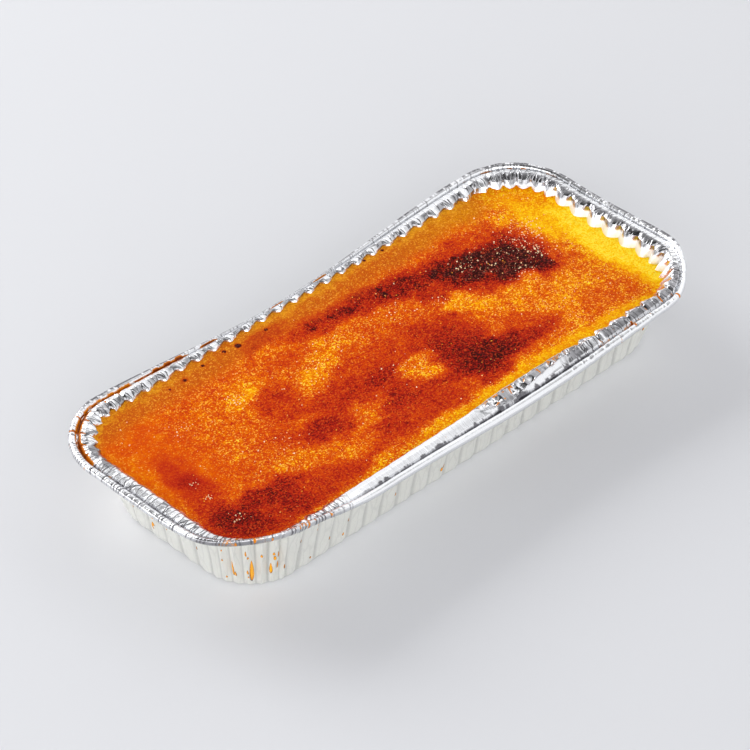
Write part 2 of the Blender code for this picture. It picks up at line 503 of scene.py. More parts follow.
def tooth_share(place, height):
    """Return how much of the pleats' depth is left, because the near lips are pressed smooth."""
    near = 0.85 * stretch(place, 20.0, 120.0, 10.0)
    left = 0.65 * stretch(place, LEFT_SIDE - 4.0, PERIMETER - 6.0, 10.0)
    return 1.0 - np.maximum(near, left) * rise(height, 21.0, 4.0)


def fold_bulge(place, station):
    """Return how far the crumpled fold of the near lip leans in over the custard."""
    high = rise(station.height, 22.0, 4.0)
    inside = fall(station.travel, 4.5, 3.0)
    return 1.1 * window(place, 104.0, 32.0) * (high * inside)


def wall_insets(height):
    """Return the mean inset of the pleated wall at a height, and its pleats' half depth."""
    heights, outer_insets, inner_insets = np.array(WALL[::-1]).T
    outer = np.interp(height, heights, outer_insets)
    inner = np.interp(height, heights, inner_insets)
    return 0.5 * (outer + inner), 0.5 * (inner - outer)


def wall_radius(height):
    """Return the corner radius of the pleated wall at a height."""
    return np.interp(height, (0.0, WALL_TOP_Z), (WALL_RADIUS_BASE, WALL_RADIUS_TOP))


def wall_station(height, sheets, settings):
    """Return the station of the pleated wall at a height, moved inward by a share of the sheet."""
    inset, fold = wall_insets(height)
    fade = max(0.0, 1.0 + (height - WALL_TOP_Z) / CREASE_REACH)
    return Station(
        inset + sheets * SHEET, height, height - WALL_TOP_Z, wall_radius(height), pleat=fold,
        panel=settings.panel_depth * (0.12 + 0.3 * fade), hatch=settings.hatch_depth * fade)


def rim_share(inset):
    """Return how far towards the bead an inset lies, from 0 at the lip to 1."""
    share = (WALL_TOP_INSET - inset) / (WALL_TOP_INSET - FULL_SHARE_INSET)
    return float(np.clip(share, 0.0, 1.3))


def lip_station(share, under, settings):
    """Return a station of the rounded lip, from 0 at the flange to 1 at the wall."""
    slope = math.atan(LIP_SLOPE * share)
    inset = FLANGE_START + LIP_REACH * share
    height = LIP_Z - LIP_RISE * share * share
    return Station(
        inset - under * math.sin(slope), height - under * math.cos(slope),
        LIP_TRAVEL * (1.0 - share), RIM_RADIUS - inset,
        pleat=WALL_TOP_PLEAT * (0.08 + 0.92 * share ** 1.6), share=rim_share(inset),
        lean=0.5 * math.pi - slope, panel=settings.panel_depth * (0.6 - 0.2 * share),
        hatch=settings.hatch_depth)


def flange_station(share, under, settings):
    """Return a station of the flange, from 0 at the lip to 1 at the groove."""
    inset = FLANGE_START + (FLANGE_END_INSET - FLANGE_START) * share
    height = LIP_Z + (FLANGE_END_Z - LIP_Z) * share - under
    return Station(
        inset, height, LIP_TRAVEL + 2.4 * share, RIM_RADIUS - inset,
        pleat=0.1 * WALL_TOP_PLEAT * (1.0 - share), share=rim_share(inset), lean=0.5 * math.pi,
        panel=settings.panel_depth * (0.6 - 0.4 * share),
        hatch=settings.hatch_depth * (1.0 - 0.5 * share))


def groove_station(inset, height):
    """Return a station of the groove between the flange and the bead."""
    return Station(
        inset, height, GROOVE_TRAVEL, RIM_RADIUS - inset, share=rim_share(inset),
        lean=0.5 * math.pi, panel=0.1, hatch=0.1)


def bead_station(turn, settings):
    """Return a station of the rolled bead: 90 degrees on its top, 0 on its outside."""
    angle = math.radians(turn)
    bead = settings.bead_radius
    inset = bead - bead * math.cos(angle)
    hatch = 0.75 * settings.hatch_depth * float(np.clip((turn + 60.0) / 60.0, 0.3, 1.0))
    return Station(
        inset, BEAD_Z + bead * math.sin(angle),
        BEAD_START + bead * math.radians(BEAD_TURNS[0] - turn), RIM_RADIUS - inset,
        share=rim_share(inset), lean=math.radians(180.0 - turn),
        panel=0.12 * settings.panel_depth, hatch=hatch)


def fine_creases(place, travel):
    """Return the fine creases pressed across one ring, of the lip and flange or of the bead."""
    if travel < BEAD_TRAVEL:
        fine = hatches(place, travel, *FINE_RIM_CREASES)
        return hatches(place, travel, *RIM_CREASES) + 0.5 * fine
    travel = travel - GROOVE_TRAVEL
    wide = hatches(place, travel, *WIDE_BEAD_CREASES)
    creased = hatches(place, travel, *BEAD_CREASES) + 0.6 * wide
    return creased * (1.0 - 0.4 * stretch(place, RIGHT_SIDE, FAR_END, 10.0))


def station_push(station, place, strength):
    """Return how far the foil is pushed out of its smooth shape, along its normal."""
    travel = station.travel
    near_corner = stretch(place, -40.0, 16.0, 10.0)
    push = station.panel * strength * panels(place, travel)
    depth = station.hatch * (0.12 + 0.88 * strength + 1.1 * near_corner)
    push = push + depth * fine_creases(place, travel)
    push = push + (0.04 + 0.07 * strength) * rim_ripple(place, travel, 5.0, 45)
    return push + (0.01 + 0.05 * strength) * rim_ripple(place, travel, 1.4, 47)


def station_ring(station, place, strength):
    """Return the points of one ring around the tray, in millimetres."""
    lift, shift = rim_bend(place)
    push = station_push(station, place, strength)
    if 0.0 < station.share < FOLD_SHARE:
        push = push + fold_dent(place, station.inset)
    teeth = station.pleat * pleat(place) * tooth_share(place, station.height)
    moved = teeth + push * math.cos(station.lean) + fold_bulge(place, station)
    inset = station.inset + moved + station.share * shift
    height = station.height + station.share * lift + push * math.sin(station.lean)
    if 0.0 < station.travel < LIP_TRAVEL:
        lip = 1.0 - station.travel / LIP_TRAVEL
        height = height + LIP_RISE * (lip ** 2 - lip ** 6) * stretch(place, *NEAR_SMOOTH, 12.0)
    radius = np.maximum(station.radius - moved, 1.0)
    x, y = outline(place, inset, radius)
    return np.stack([x, y, height], axis=-1)


def sugar_stain(station, place):
    """Return how much burnt sugar sticks to the foil on one ring, from 0 to 1."""
    travel = station.travel
    patchy = smooth_step(0.5 + 1.6 * rim_ripple(place, travel, 2.4, 71))
    middle = 3.15 - 0.5 * stretch(place, FAR_SIDE + 10.0, FAR_END - 40.0, 20.0)
    wide = 0.6 + 0.5 * stretch(place, FAR_END - 30.0, LEFT_SIDE, 14.0)
    groove = np.exp(-((station.inset - middle) / wide) ** 2)
    stain = 0.0 * place
    for centre, half_width, amount in GROOVE_STAINS:
        share = window(place, centre, half_width)
        stain = stain + groove * amount * share * (0.45 + 0.55 * patchy)
    deep = rise(-panels(place, travel), 0.25, 0.5)
    for centre, half_width, amount in FOLD_STAINS:
        stain = stain + 0.8 * deep * amount * window(place, centre, half_width) * patchy
    depth, beyond = fold_pocket(place, station.inset)
    sugared = rise(rim_ripple(place, travel, 1.3, 75), 0.3, 0.2)
    on_flange = float(station.share < FOLD_SHARE)
    stain = stain + 0.5 * depth * sugared * smooth_step(beyond / 0.7) * on_flange
    patches = rise(rim_ripple(place, travel, 2.2, 77), -0.1, 0.3)
    corner = window(place, -10.0, 30.0) * patches
    stain = stain + 0.75 * corner * crease_shade(station, place)
    spots = rise(rim_ripple(place, travel, 1.6, 73), 0.72, 0.15)
    return np.clip(stain + 0.35 * spots * fall(travel, 9.0, 3.0), 0.0, 1.0)


def crease_marks(station, place):
    """Return how strongly long crease lines mark the foil on one ring, from 0 to 1, in bumps and in
    painted shade.
    """
    travel = station.travel
    marks = 1.0 - 0.95 * stretch(place, *NEAR_SMOOTH, 12.0)
    flat = rise(travel, 3.4, 1.2)
    marks = marks * (1.0 - 0.7 * flat * stretch(place, RIGHT_SIDE, FAR_END, 10.0))
    if travel > BEAD_TRAVEL:
        return 0.25 * marks * (1.0 - 0.9 * stretch(place, 10.0, FAR_END, 8.0))
    return marks * (0.1 + 0.9 * rise(travel, -1.0, 2.0))


def crease_shade(station, place):
    """Return how dark the painted shade at the bottoms of the short creases is on one ring, from 0
    to 1.
    """
    travel = station.travel
    corner = stretch(place, -34.0, 14.0, 10.0)
    if travel > BEAD_TRAVEL:
        crease = -hatches(place, travel - GROOVE_TRAVEL, *BEAD_CREASES)
        left = stretch(place, LEFT_SIDE - 20.0, PERIMETER - 20.0, 14.0)
        far = 0.7 * stretch(place, RIGHT_SIDE - 8.0, LEFT_SIDE - 20.0, 12.0)
        crease = crease + 0.22 * corner + 0.1 * left
        amount = np.maximum(np.maximum(corner, left), far)
    else:
        crease = -hatches(place, travel, *RIM_CREASES)
        far_right = stretch(place, RIGHT_END, FAR_SIDE, 8.0)
        corners = far_right + stretch(place, FAR_END, LEFT_SIDE, 8.0)
        crease = crease + 0.2 * corner
        amount = rise(travel, -0.5, 1.5) * np.maximum(corner, 0.7 * corners)
    return 0.85 * amount * rise(crease, 0.12, 0.3)


def groove_marks(place, travel):
    """Return the painted shade of the groove: a thin dark line, ragged along the crumpled near side.
    """
    fine = np.abs(rim_ripple(place, 0.0, 0.8, 112))
    jagged = np.abs(rim_ripple(place, 0.0, 2.3, 111)) + 0.5 * fine
    near = stretch(place, 34.0, 122.0, 14.0)
    reach = 0.15 + (0.1 + 1.35 * near) * np.maximum(jagged - 0.3, 0.0)
    thin = 0.35 + 0.5 * np.maximum(near, stretch(place, LEFT_SIDE, PERIMETER - 10.0, 10.0))
    groove = thin * smooth_step((reach - np.maximum(6.9 - travel, 0.0)) / 0.3)
    return groove * float(4.0 < travel < 7.5)


def bead_edge_marks(place, travel):
    """Return the painted shade along the outer edge of the right and far bead, in dark dashes."""
    coarse = rise(rim_ripple(place, 0.0, 3.1, 114), -0.75, 0.9)
    fine = rim_ripple(place, 0.3 * travel, 0.62, 113)
    dashes = rise(fine + 0.9 * coarse, 0.1, 0.5)
    edge = (0.55 + 0.35 * coarse) * dashes
    edge = edge * stretch(place, RIGHT_SIDE - 4.0, FAR_END + 4.0, 8.0)
    return edge * rise(travel, 11.8, 0.4) * float(travel < 16.0)


def lip_streaks(place, travel):
    """Return fine streaks of painted shade that run across the lip, from 0 for bright to 1 for dark.
    """
    return rise(rim_ripple(place, 0.25 * travel, 0.9, 115), -1.05, 0.7)


def lip_marks(place, travel):
    """Return the painted streaky shade and dark reflection of the right, far and left lip."""
    right = 0.62 * stretch(place, RIGHT_SIDE - 6.0, FAR_SIDE - 14.0, 8.0)
    far = 0.6 * stretch(place, FAR_SIDE - 6.0, FAR_END, 8.0) * smooth_step(0.6 - pleat(place))
    left = 0.5 * stretch(place, LEFT_SIDE - 8.0, PERIMETER - 12.0, 8.0) * float(travel < 1.6)
    left = left * rise(rim_ripple(place, 0.0, 3.4, 119), -0.1, 0.4)
    lip = rise(travel, -1.7, 0.8) * fall(travel, 3.9, 0.8)
    return lip * lip_streaks(place, travel) * np.maximum(np.maximum(right, far), left)


def corner_strips(place, travel):
    """Return the strips of painted shade that slant over the lip of the far left corner."""
    strips = rim_ripple(place - 1.2 * travel, 0.2 * travel, 1.9, 123)
    strips = rise(strips, 0.05, 0.3)
    strips = strips * rise(travel, -5.0, 1.0) * fall(travel, 5.2, 1.0)
    return 0.7 * strips * stretch(place, FAR_END + 6.0, LEFT_SIDE + 2.0, 8.0)


def pillow_marks(place, travel):
    """Return the painted streaky shade and dark reflection of the panels on the right part of the
    near flange.
    """
    inside = rise(travel, 1.4, 0.6) * fall(travel, 6.4, 0.5)
    streaks = inside * lip_streaks(place, travel)
    pillows = rise(rim_ripple(place, 0.0, 7.0, 121), -0.7, 0.6)
    return 0.7 * streaks * pillows * stretch(place, 122.0, RIGHT_SIDE - 12.0, 8.0)


def rim_line_marks(place, travel):
    """Return the broken line of painted shadow where the near lip turns down into the wall."""
    line = rise(rim_ripple(place, 0.0, 0.9, 117), -0.2, 0.4)
    line = line * stretch(place, 26.0, 124.0, 12.0)
    return 0.85 * line * float(-0.35 < travel < 0.3)


def fold_marks(station, place):
    """Return the painted shade in the creases of the crumpled fold and beside its ridge."""
    if station.share >= FOLD_SHARE:
        return 0.0 * place
    depth, beyond = fold_pocket(place, station.inset)
    creases = rise(facets(place, station.inset), 0.95, 0.3)
    creases = 0.55 * np.minimum(depth, 1.0) * creases * smooth_step(beyond / 0.5)
    shade = 0.65 * np.minimum(depth, 1.0) * np.exp(-((beyond - 0.4) / 0.45) ** 2)
    return np.maximum(creases, shade)


def painted_shade_marks(station, place):
    """Return how dark the painted shade is on one ring of foil: the darkest of all its marks."""
    marks = [fold_marks(station, place), crease_shade(station, place)]
    for mark in (
            groove_marks, bead_edge_marks, lip_marks, corner_strips, pillow_marks, rim_line_marks):
        marks.append(mark(place, station.travel))
    return np.clip(np.maximum.reduce(marks), 0.0, 1.0)


def frost_marks(station, place):
    """Return how dull the foil is on one ring: the teeth that dip into the custard."""
    dipped = fall(station.travel, -1.2, 1.0)
    right = 0.7 * stretch(place, RIGHT_SIDE - 12.0, FAR_SIDE - 12.0, 8.0)
    far = 0.55 * stretch(place, FAR_SIDE - 12.0, LEFT_SIDE - 10.0, 8.0)
    return dipped * np.maximum(right, far)


def foil_looks(stations, place, outside, sugared):
    """Return the values that the foil's material reads, one row for each station.

    The first stations are the matte outside. Burnt sugar sticks only to a sugared sheet.
    """
    # The third value of each row is painted shade and dark reflection, which darkens the foil's
    # colour.
    looks = {"matte": [], "stain": [], "painted_shade": [], "crease": [], "frost": []}
    for index, station in enumerate(stations):
        if index < outside:
            # On the matte outside, the wall's inner folds get painted shade.
            row = (1.0, 0.0, 0.2 * rise(pleat(place), 0.35, 0.5), 0.08, 0.0)
        else:
            row = (
                0.0, sugar_stain(station, place) if sugared else 0.0, painted_shade_marks(station, place),
                crease_marks(station, place), frost_marks(station, place))
        for values, value in zip(looks.values(), row):
            values.append(value + 0.0 * place)
    return looks


def wrapped_sheet(name, stations, settings, outside=0, sugared=False):
    """Wrap a sheet of foil round the tray, with one row of a grid for each station.

    Its UV map holds the place along the rim and the travel across it, in millimetres.
    """
    place = np.arange(settings.around) * PERIMETER / settings.around
    strength = fold_strength(place)
    rings = np.array([station_ring(station, place, strength) for station in stations])
    looks = foil_looks(stations, place, outside, sugared)
    travels = [station.travel for station in stations]
    rows, columns = rings.shape[:2]
    bpy.ops.object.select_all(action="DESELECT")
    bpy.ops.mesh.primitive_grid_add(
        x_subdivisions=columns, y_subdivisions=rows - 1, size=1.0, enter_editmode=False)
    sheet = bpy.context.object
    sheet.name = name
    sheet.data.name = name
    closed = np.concatenate([rings, rings[:, :1]], axis=1) * MM
    sheet.data.vertices.foreach_set("co", closed.astype(np.float32).ravel())
    for look, values in looks.items():
        values = np.array(values)
        store_values(sheet, look, np.concatenate([values, values[:, :1]], axis=1))
    places = np.arange(columns + 1) * PERIMETER / columns
    across, along = np.meshgrid(travels, places, indexing="ij")
    corners = np.zeros(len(sheet.data.loops), dtype=np.int32)
    sheet.data.loops.foreach_get("vertex_index", corners)
    rim_map = np.stack([along.ravel(), across.ravel()], axis=-1)[corners]
    sheet.data.uv_layers.active.data.foreach_set("uv", rim_map.astype(np.float32).ravel())
    sheet.data.update()
    bpy.ops.object.mode_set(mode="EDIT")
    bpy.ops.mesh.select_all(action="SELECT")
    bpy.ops.mesh.remove_doubles(threshold=0.001 * MM)
    bpy.ops.mesh.fill_holes(sides=0)
    bpy.ops.mesh.select_all(action="SELECT")
    bpy.ops.mesh.normals_make_consistent(inside=False)
    bpy.ops.object.mode_set(mode="OBJECT")
    return sheet


def store_values(piece, name, values):
    """Store a value for each vertex, which a material reads by name."""
    attribute = piece.data.attributes.new(name, "FLOAT", "POINT")
    attribute.data.foreach_set("value", np.asarray(values, dtype=np.float32).ravel())


# Edges that turn by more than this many degrees are shaded sharp.
FOIL_ANGLE = 40.0
CRUST_ANGLE = 60.0
GRAIN_ANGLE = 30.0


def finish_piece(piece, material, node, sharp_angle=None):
    """Shade a piece, give it its material and tie it to the frame."""
    bpy.ops.object.select_all(action="DESELECT")
    piece.select_set(True)
    bpy.context.view_layer.objects.active = piece
    if sharp_angle is None:
        bpy.ops.object.shade_smooth()
    else:
        bpy.ops.object.shade_smooth_by_angle(angle=math.radians(sharp_angle))
    piece.data.materials.clear()
    piece.data.materials.append(material)
    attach(piece, "root")
    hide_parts(node)


# ------------------------------------------------------------------ crust

# Heat of the crust before any stroke, and the strokes painted over it from bottom to top:
# (x, y, half length, half width, turn in degrees, heat, softness).
BASE_HEAT = 0.335
HEAT_STROKES = (
    # custard that the flame hardly reached
    (98.0, 0.0, 13.0, 60.0, 0, 0.03, 0.9),
    (90.0, 32.0, 17.0, 9.0, -35, 0.13, 0.9),
    (42.0, -38.2, 62.0, 5.6, 0, 0.10, 0.7),
    (-14.0, -38.0, 14.0, 4.6, 0, 0.14, 0.8),
    (-58.0, -36.5, 28.0, 4.6, 0, 0.20, 0.9),
    (-98.0, 8.0, 5.0, 20.0, 0, 0.26, 0.8),
    # browned orange fields
    (62.0, -17.0, 17.0, 14.0, 0, 0.22, 0.9),
    (69.0, -26.0, 8.0, 5.0, 0, 0.35, 1.2),
    (40.0, -12.0, 11.0, 6.0, 0, 0.34, 1.0),
    (14.0, 9.0, 18.0, 10.0, -10, 0.38, 0.8),
    (-58.0, 4.0, 17.0, 14.0, 0, 0.335, 1.0),
    (-60.0, 20.0, 12.0, 6.0, 10, 0.32, 1.0),
    (-46.0, 17.5, 11.0, 4.6, 22, 0.24, 1.2),
    (-14.0, 15.0, 14.0, 4.0, 12, 0.24, 0.9),
    (-22.0, 33.5, 12.0, 3.0, 0, 0.66, 1.0),
    (-78.0, 12.0, 10.0, 14.0, 0, 0.37, 1.2),
    # red fields
    (-25.0, 20.0, 8.5, 3.2, 0, 0.46, 1.2),
    (-42.0, 6.0, 8.5, 11.0, -8, 0.57, 0.7),
    (-36.0, 0.5, 3.0, 3.0, 0, 0.42, 1.2),
    (-52.0, -6.0, 7.0, 6.0, 0, 0.48, 1.2),
    (-38.0, -12.5, 12.0, 6.0, -5, 0.66, 0.9),
    (-19.0, -4.5, 18.0, 6.6, -4, 0.65, 0.7),
    (-13.0, 5.0, 11.0, 5.5, 0, 0.54, 1.1),
    (-13.0, -15.0, 9.0, 7.5, 15, 0.67, 0.7),
    (6.0, 1.0, 17.0, 7.5, 3, 0.55, 0.9),
    (21.0, -5.0, 12.0, 9.0, 0, 0.65, 0.8),
    (19.0, -18.0, 11.0, 13.0, 0, 0.68, 0.6),
    (-18.0, -27.0, 30.0, 5.6, 0, 0.62, 0.7),
    (2.0, -23.0, 13.0, 6.5, -8, 0.64, 0.8),
    (18.0, -30.5, 9.5, 3.6, 0, 0.66, 0.9),
    (0.0, -31.0, 6.0, 3.2, 0, 0.58, 0.9),
    (-73.0, -27.5, 31.0, 10.5, -5, 0.67, 0.5),
    (-54.0, -29.5, 14.0, 5.0, -8, 0.60, 0.8),
    (-87.0, 0.0, 5.5, 13.0, 0, 0.62, 1.0),
    (-87.0, -3.0, 3.0, 6.0, 0, 0.72, 1.0),
    (-88.0, -12.0, 6.5, 6.0, 0, 0.56, 1.0),
    (45.0, 9.0, 13.0, 6.0, -42, 0.66, 0.7),
    (33.0, 16.0, 13.0, 4.6, -20, 0.68, 0.8),
    (61.0, 7.0, 16.0, 13.5, -30, 0.70, 0.7),
    (50.0, 19.5, 12.0, 8.0, -10, 0.70, 0.8),
    (60.0, 22.5, 15.0, 4.0, 0, 0.53, 1.1),
    (1.0, 26.0, 20.0, 5.0, -4, 0.64, 0.8),
    (24.0, 22.5, 22.0, 6.4, -12, 0.69, 0.8),
    # deep reds and maroons
    (-75.0, -22.0, 11.0, 4.6, 0, 0.78, 1.1),
    (-70.0, -28.0, 4.0, 8.0, 0, 0.78, 1.2),
    (-89.0, -24.0, 6.5, 9.5, 20, 0.84, 1.1),
    (-40.0, -12.0, 7.0, 4.0, 0, 0.74, 1.1),
    (-8.0, -6.5, 8.0, 4.0, 0, 0.74, 1.2),
    (-13.0, -17.0, 5.0, 5.0, 0, 0.74, 1.2),
    (19.0, -13.0, 7.5, 8.5, 0, 0.81, 1.1),
    (33.0, -23.0, 17.0, 5.6, -3, 0.75, 0.9),
    (44.0, -17.0, 7.0, 4.0, 0, 0.48, 1.2),
    (22.5, -23.0, 10.0, 6.2, 0, 0.91, 1.2),
    (8.0, -28.0, 4.0, 3.0, 0, 0.46, 1.2),
    # sandy islands
    (-25.0, 8.5, 6.0, 4.4, -22, 0.17, 0.7),
    (35.5, 1.5, 7.0, 5.2, -40, 0.19, 0.8),
    (34.5, -5.0, 4.6, 5.0, 20, 0.30, 1.0),
    (41.0, -3.0, 5.5, 3.2, 0, 0.17, 0.9),
    (-47.0, 16.0, 7.0, 3.2, 15, 0.15, 1.0),
    (-18.0, 9.0, 5.0, 3.0, 0, 0.22, 1.2),
    (-16.0, -12.0, 4.0, 3.0, 0, 0.52, 1.2),
    (84.5, 18.0, 5.5, 12.0, 6, 0.08, 1.0),
    (75.5, 25.0, 5.0, 3.5, 0, 0.16, 1.0),
    (3.0, -8.5, 7.5, 2.8, 10, 0.26, 1.0),
    (4.0, -15.0, 5.2, 4.0, 0, 0.20, 0.9),
    (-26.0, -15.0, 5.0, 4.6, 0, 0.33, 1.2),
    (-55.0, -18.0, 11.0, 4.4, -28, 0.27, 0.8),
    (-42.0, -24.0, 13.0, 4.6, -12, 0.30, 0.9),
    (52.0, -8.0, 5.0, 8.0, 0, 0.24, 1.1),
    (54.5, -30.0, 5.5, 4.0, 0, 0.24, 1.0),
    (61.5, -3.0, 4.0, 3.0, 0, 0.38, 1.1),
    (-68.0, -12.0, 8.0, 5.0, 0, 0.40, 1.2),
    # the burnt streak along the far side and its black end
    (43.0, 13.0, 9.0, 5.2, -12, 0.85, 1.0),
    (24.0, 22.5, 6.5, 4.0, -10, 0.84, 1.0),
    (35.0, 18.5, 6.0, 3.4, -20, 0.82, 1.0),
    (72.5, 13.0, 5.0, 7.5, 22, 0.72, 1.0),
    (33.0, 11.0, 6.5, 4.0, -10, 0.68, 1.0),
    (69.0, 17.5, 4.0, 3.0, 0, 0.80, 1.1),
    (46.0, 17.0, 9.5, 5.4, -12, 0.93, 0.9),
    (50.5, 12.0, 6.5, 5.4, 10, 1.0, 0.8),
    (61.5, 7.5, 11.0, 9.0, -38, 1.0, 0.8),
    (69.5, -0.5, 4.0, 4.6, 0, 0.95, 0.9),
    (60.5, -4.5, 4.6, 4.6, 0, 0.30, 1.0),
    (25.0, 22.3, 12.0, 2.6, -14, 0.84, 1.1),
    (6.0, 25.2, 9.0, 2.2, -9, 0.80, 1.1),
    (-7.5, 26.5, 3.4, 2.0, 0, 0.83, 1.1),
)


def stroke_weight(x, y, shape, soft):
    """Return how much of a painted stroke lies at points of the plan."""
    centre_x, centre_y, half_long, half_wide, turn = shape
    angle = math.radians(turn)
    along = (x - centre_x) * math.cos(angle) + (y - centre_y) * math.sin(angle)
    aside = (y - centre_y) * math.cos(angle) - (x - centre_x) * math.sin(angle)
    away = np.hypot(along / half_long, aside / half_wide)
    return smooth_step((1.0 + 0.5 * soft - away) / soft)


def crust_heat(x, y):
    """Return how far the flame browned the crust, from 0 for pale to 1 for black."""
    warped_x = x + 2.4 * cloud(x, y, 8.0, 3) + 1.2 * cloud(x, y, 2.6, 5)
    warped_y = y + 1.6 * cloud(x, y, 8.0, 7) + 1.0 * cloud(x, y, 2.6, 9)
    heat = BASE_HEAT + 0.0 * x
    for *shape, stroke_heat, soft in HEAT_STROKES:
        heat += (stroke_heat - heat) * stroke_weight(warped_x, warped_y, shape, soft)
    mottle = 0.6 * cloud(x, y, 4.5, 15) + 0.7 * cloud(x, y, 1.9, 17)
    heat += 0.12 * mottle * fall(heat, 0.9, 0.4) * rise(heat, 0.06, 0.2)
    clumps = rise(cloud(x, y, 2.2, 19), -0.1, 0.6)
    burnt = rise(heat, 0.66, 0.16)
    burnt = burnt * rise(x, -12.0, 4.0) * rise(y, 8.0, 6.0)
    heat += 0.16 * (clumps - 0.3) * burnt
    return np.clip(heat, 0.0, 1.0)


def crust_grain(x, y, heat):
    """Return how grainy the crust is: least where it is pale, dull or near the left end."""
    pale = rise(heat, 0.08, 0.16)
    grain = np.minimum(1.0 - 0.2 * rise(heat, 0.42, 0.28), 0.2 + 0.8 * pale)
    left = fall(x, -66.0, 16.0) * rise(y, -16.0, 16.0)
    return grain * (1.0 - 0.55 * left) * (1.0 - 0.55 * far_band(x, y))


def far_band(x, y):
    """Return 1 along the far side, where the crust is dull and brown, falling to 0."""
    edge = 30.5 + 1.8 * cloud(x, y, 9.0, 13) + 1.0 * cloud(x, y, 3.0, 14)
    return rise(y - edge, -4.0, 8.0) * fall(x, 86.0, 16.0)


# Small charred crumbs near the far side: (x, y, radius).
CHAR_SPOTS = (
    (-55.5, 35.5, 0.9),
    (-46.5, 37.0, 0.8),
    (-37.0, 37.3, 0.9),
    (-31.8, 36.4, 1.3),
    (-20.0, 36.0, 0.8),
    (-62.0, 35.5, 0.6),
    (27.5, 39.6, 0.7),
    (35.5, 39.4, 0.7),
)

# The custard's grid follows the wall in an apron of rings, and is square inside it.
APRON_RINGS = 26
APRON_DEPTH = 14.4
EDGE_CLIMB = 0.25


def custard_level(x, y):
    """Return the height of the custard's surface, which sinks towards the right end."""
    sink = rise(x, 60.0, 38.0) * (2.6 - 0.8 * rise(y, 10.0, 26.0))
    return CUSTARD_LEVEL + 1.2 * rise(y, -14.0, 50.0) - sink


def crust_relief(x, y):
    """Return the height of the crust's waves, blisters and grains above the level."""
    heat = crust_heat(x, y)
    burnt = rise(heat, 0.84, 0.1)
    grainy = fall(heat, 0.62, 0.25) * (1.0 - far_band(x, y))
    waves = 0.22 * cloud(x, y, 22.0, 81) + 0.10 * cloud(x, y, 6.0, 82)
    blisters = 0.22 * burnt * np.maximum(cloud(x, y, 1.7, 83) + 0.2, 0.0)
    grains = (0.03 + 0.07 * grainy + 0.05 * burnt) * cloud(x, y, 0.95, 84)
    return waves + blisters + grains


def apron_point(place, distance):
    """Return plan points at a distance inward from the wall, at the custard's level."""
    radius = np.maximum(wall_radius(25.0) - distance, LEAST_RADIUS)
    x, y = outline(place, WALL_TOP_INSET + distance, radius)
    edge_height = custard_level(x, y) + EDGE_CLIMB
    inset, fold = wall_insets(edge_height)
    inset = inset + 0.2 * SHEET + distance
    fold = fold * (1.0 - smooth_step(distance / 3.5)) * pleat(place)
    fold = fold * tooth_share(place, edge_height)
    radius = np.maximum(wall_radius(edge_height) - distance - fold, LEAST_RADIUS)
    return outline(place, inset + fold, radius)


def custard_plan(along, across):
    """Return plan positions of a grid whose edge follows the pleated wall."""
    i, j = np.meshgrid(np.arange(along + 1), np.arange(across + 1))
    ring = np.minimum(np.minimum(i, along - i), np.minimum(j, across - j))
    depth = np.minimum(ring, APRON_RINGS)
    share = depth / APRON_RINGS
    distance = APRON_DEPTH * (0.55 * share + 0.45 * share * share)
    u = (i - depth) / (along - 2.0 * depth)
    v = (j - depth) / (across - 2.0 * depth)
    flat_inset = WALL_TOP_INSET + 0.5 * SHEET + distance
    flat_x = (2.0 * u - 1.0) * (HALF_LENGTH - flat_inset)
    flat_y = (2.0 * v - 1.0) * (HALF_WIDTH - flat_inset)
    corner = 0.5 * CORNER_ARC
    long_run = 2.0 * HALF_LONG + CORNER_ARC
    short_run = 2.0 * HALF_SHORT + CORNER_ARC
    near = -corner + long_run * u
    right = RIGHT_SIDE - corner + short_run * v
    far = FAR_SIDE - corner + long_run * (1.0 - u)
    left = LEFT_SIDE - corner + short_run * (1.0 - v)
    place = np.select(
        (j == ring, i == along - ring, j == across - ring), (near, right, far), left)
    round_x, round_y = apron_point(place, distance)
    squared = smooth_step(share)
    x = round_x + (flat_x - round_x) * squared
    y = round_y + (flat_y - round_y) * squared
    return x, y, distance


# ------------------------------------------------------------------ materials

# Settings and output of a Mix node for colours, whose inputs are 0 share, 6 first, 7 second.
COLOURS = {"data_type": "RGBA", "output": 2}


def add_node(tree, kind, inputs=(), output=0, **settings):
    """Add a shader node with its settings, fill or link its inputs, and return one output.

    The inputs are a dict by name or number, or a tuple in the node's own order.
    """
    made = tree.nodes.new("ShaderNode" + kind)
    for name, value in settings.items():
        setattr(made, name, value)
    for name, value in inputs.items() if isinstance(inputs, dict) else enumerate(inputs):
        if isinstance(value, bpy.types.NodeSocket):
            tree.links.new(value, made.inputs[name])
        else:
            made.inputs[name].default_value = value
    return made.outputs[output] if made.outputs else made


def fill_ramp(colour, stops):
    """Give the colour ramp behind an output its stops of (position, hex colour)."""
    elements = colour.node.color_ramp.elements
    for position, hex_code in stops[1:-1]:
        elements.new(position).color = linear(hex_code)
    for element, (position, hex_code) in ((elements[0], stops[0]), (elements[-1], stops[-1])):
        element.position = position
        element.color = linear(hex_code)


def new_material(name):
    """Return an empty node material and the function that adds a node to it."""
    material = bpy.data.materials.new(name)
    material.use_nodes = True
    material.node_tree.nodes.clear()
    return material, partial(add_node, material.node_tree)


# Sizes of the foil's patterns: drawn folds along and across the rim, with their bends in each
# millimetre, beaten dimples, and the ragged edge of stuck sugar. Then the depths of two of them.
DRAWN_ALONG = 2.2
DRAWN_ACROSS = 15.0
DRAWN_BENDS = 0.26
DIMPLES = 0.9
STAIN_EDGE = 0.7
FOLD_BUMP = 0.16
DIMPLE_BUMP = 0.4


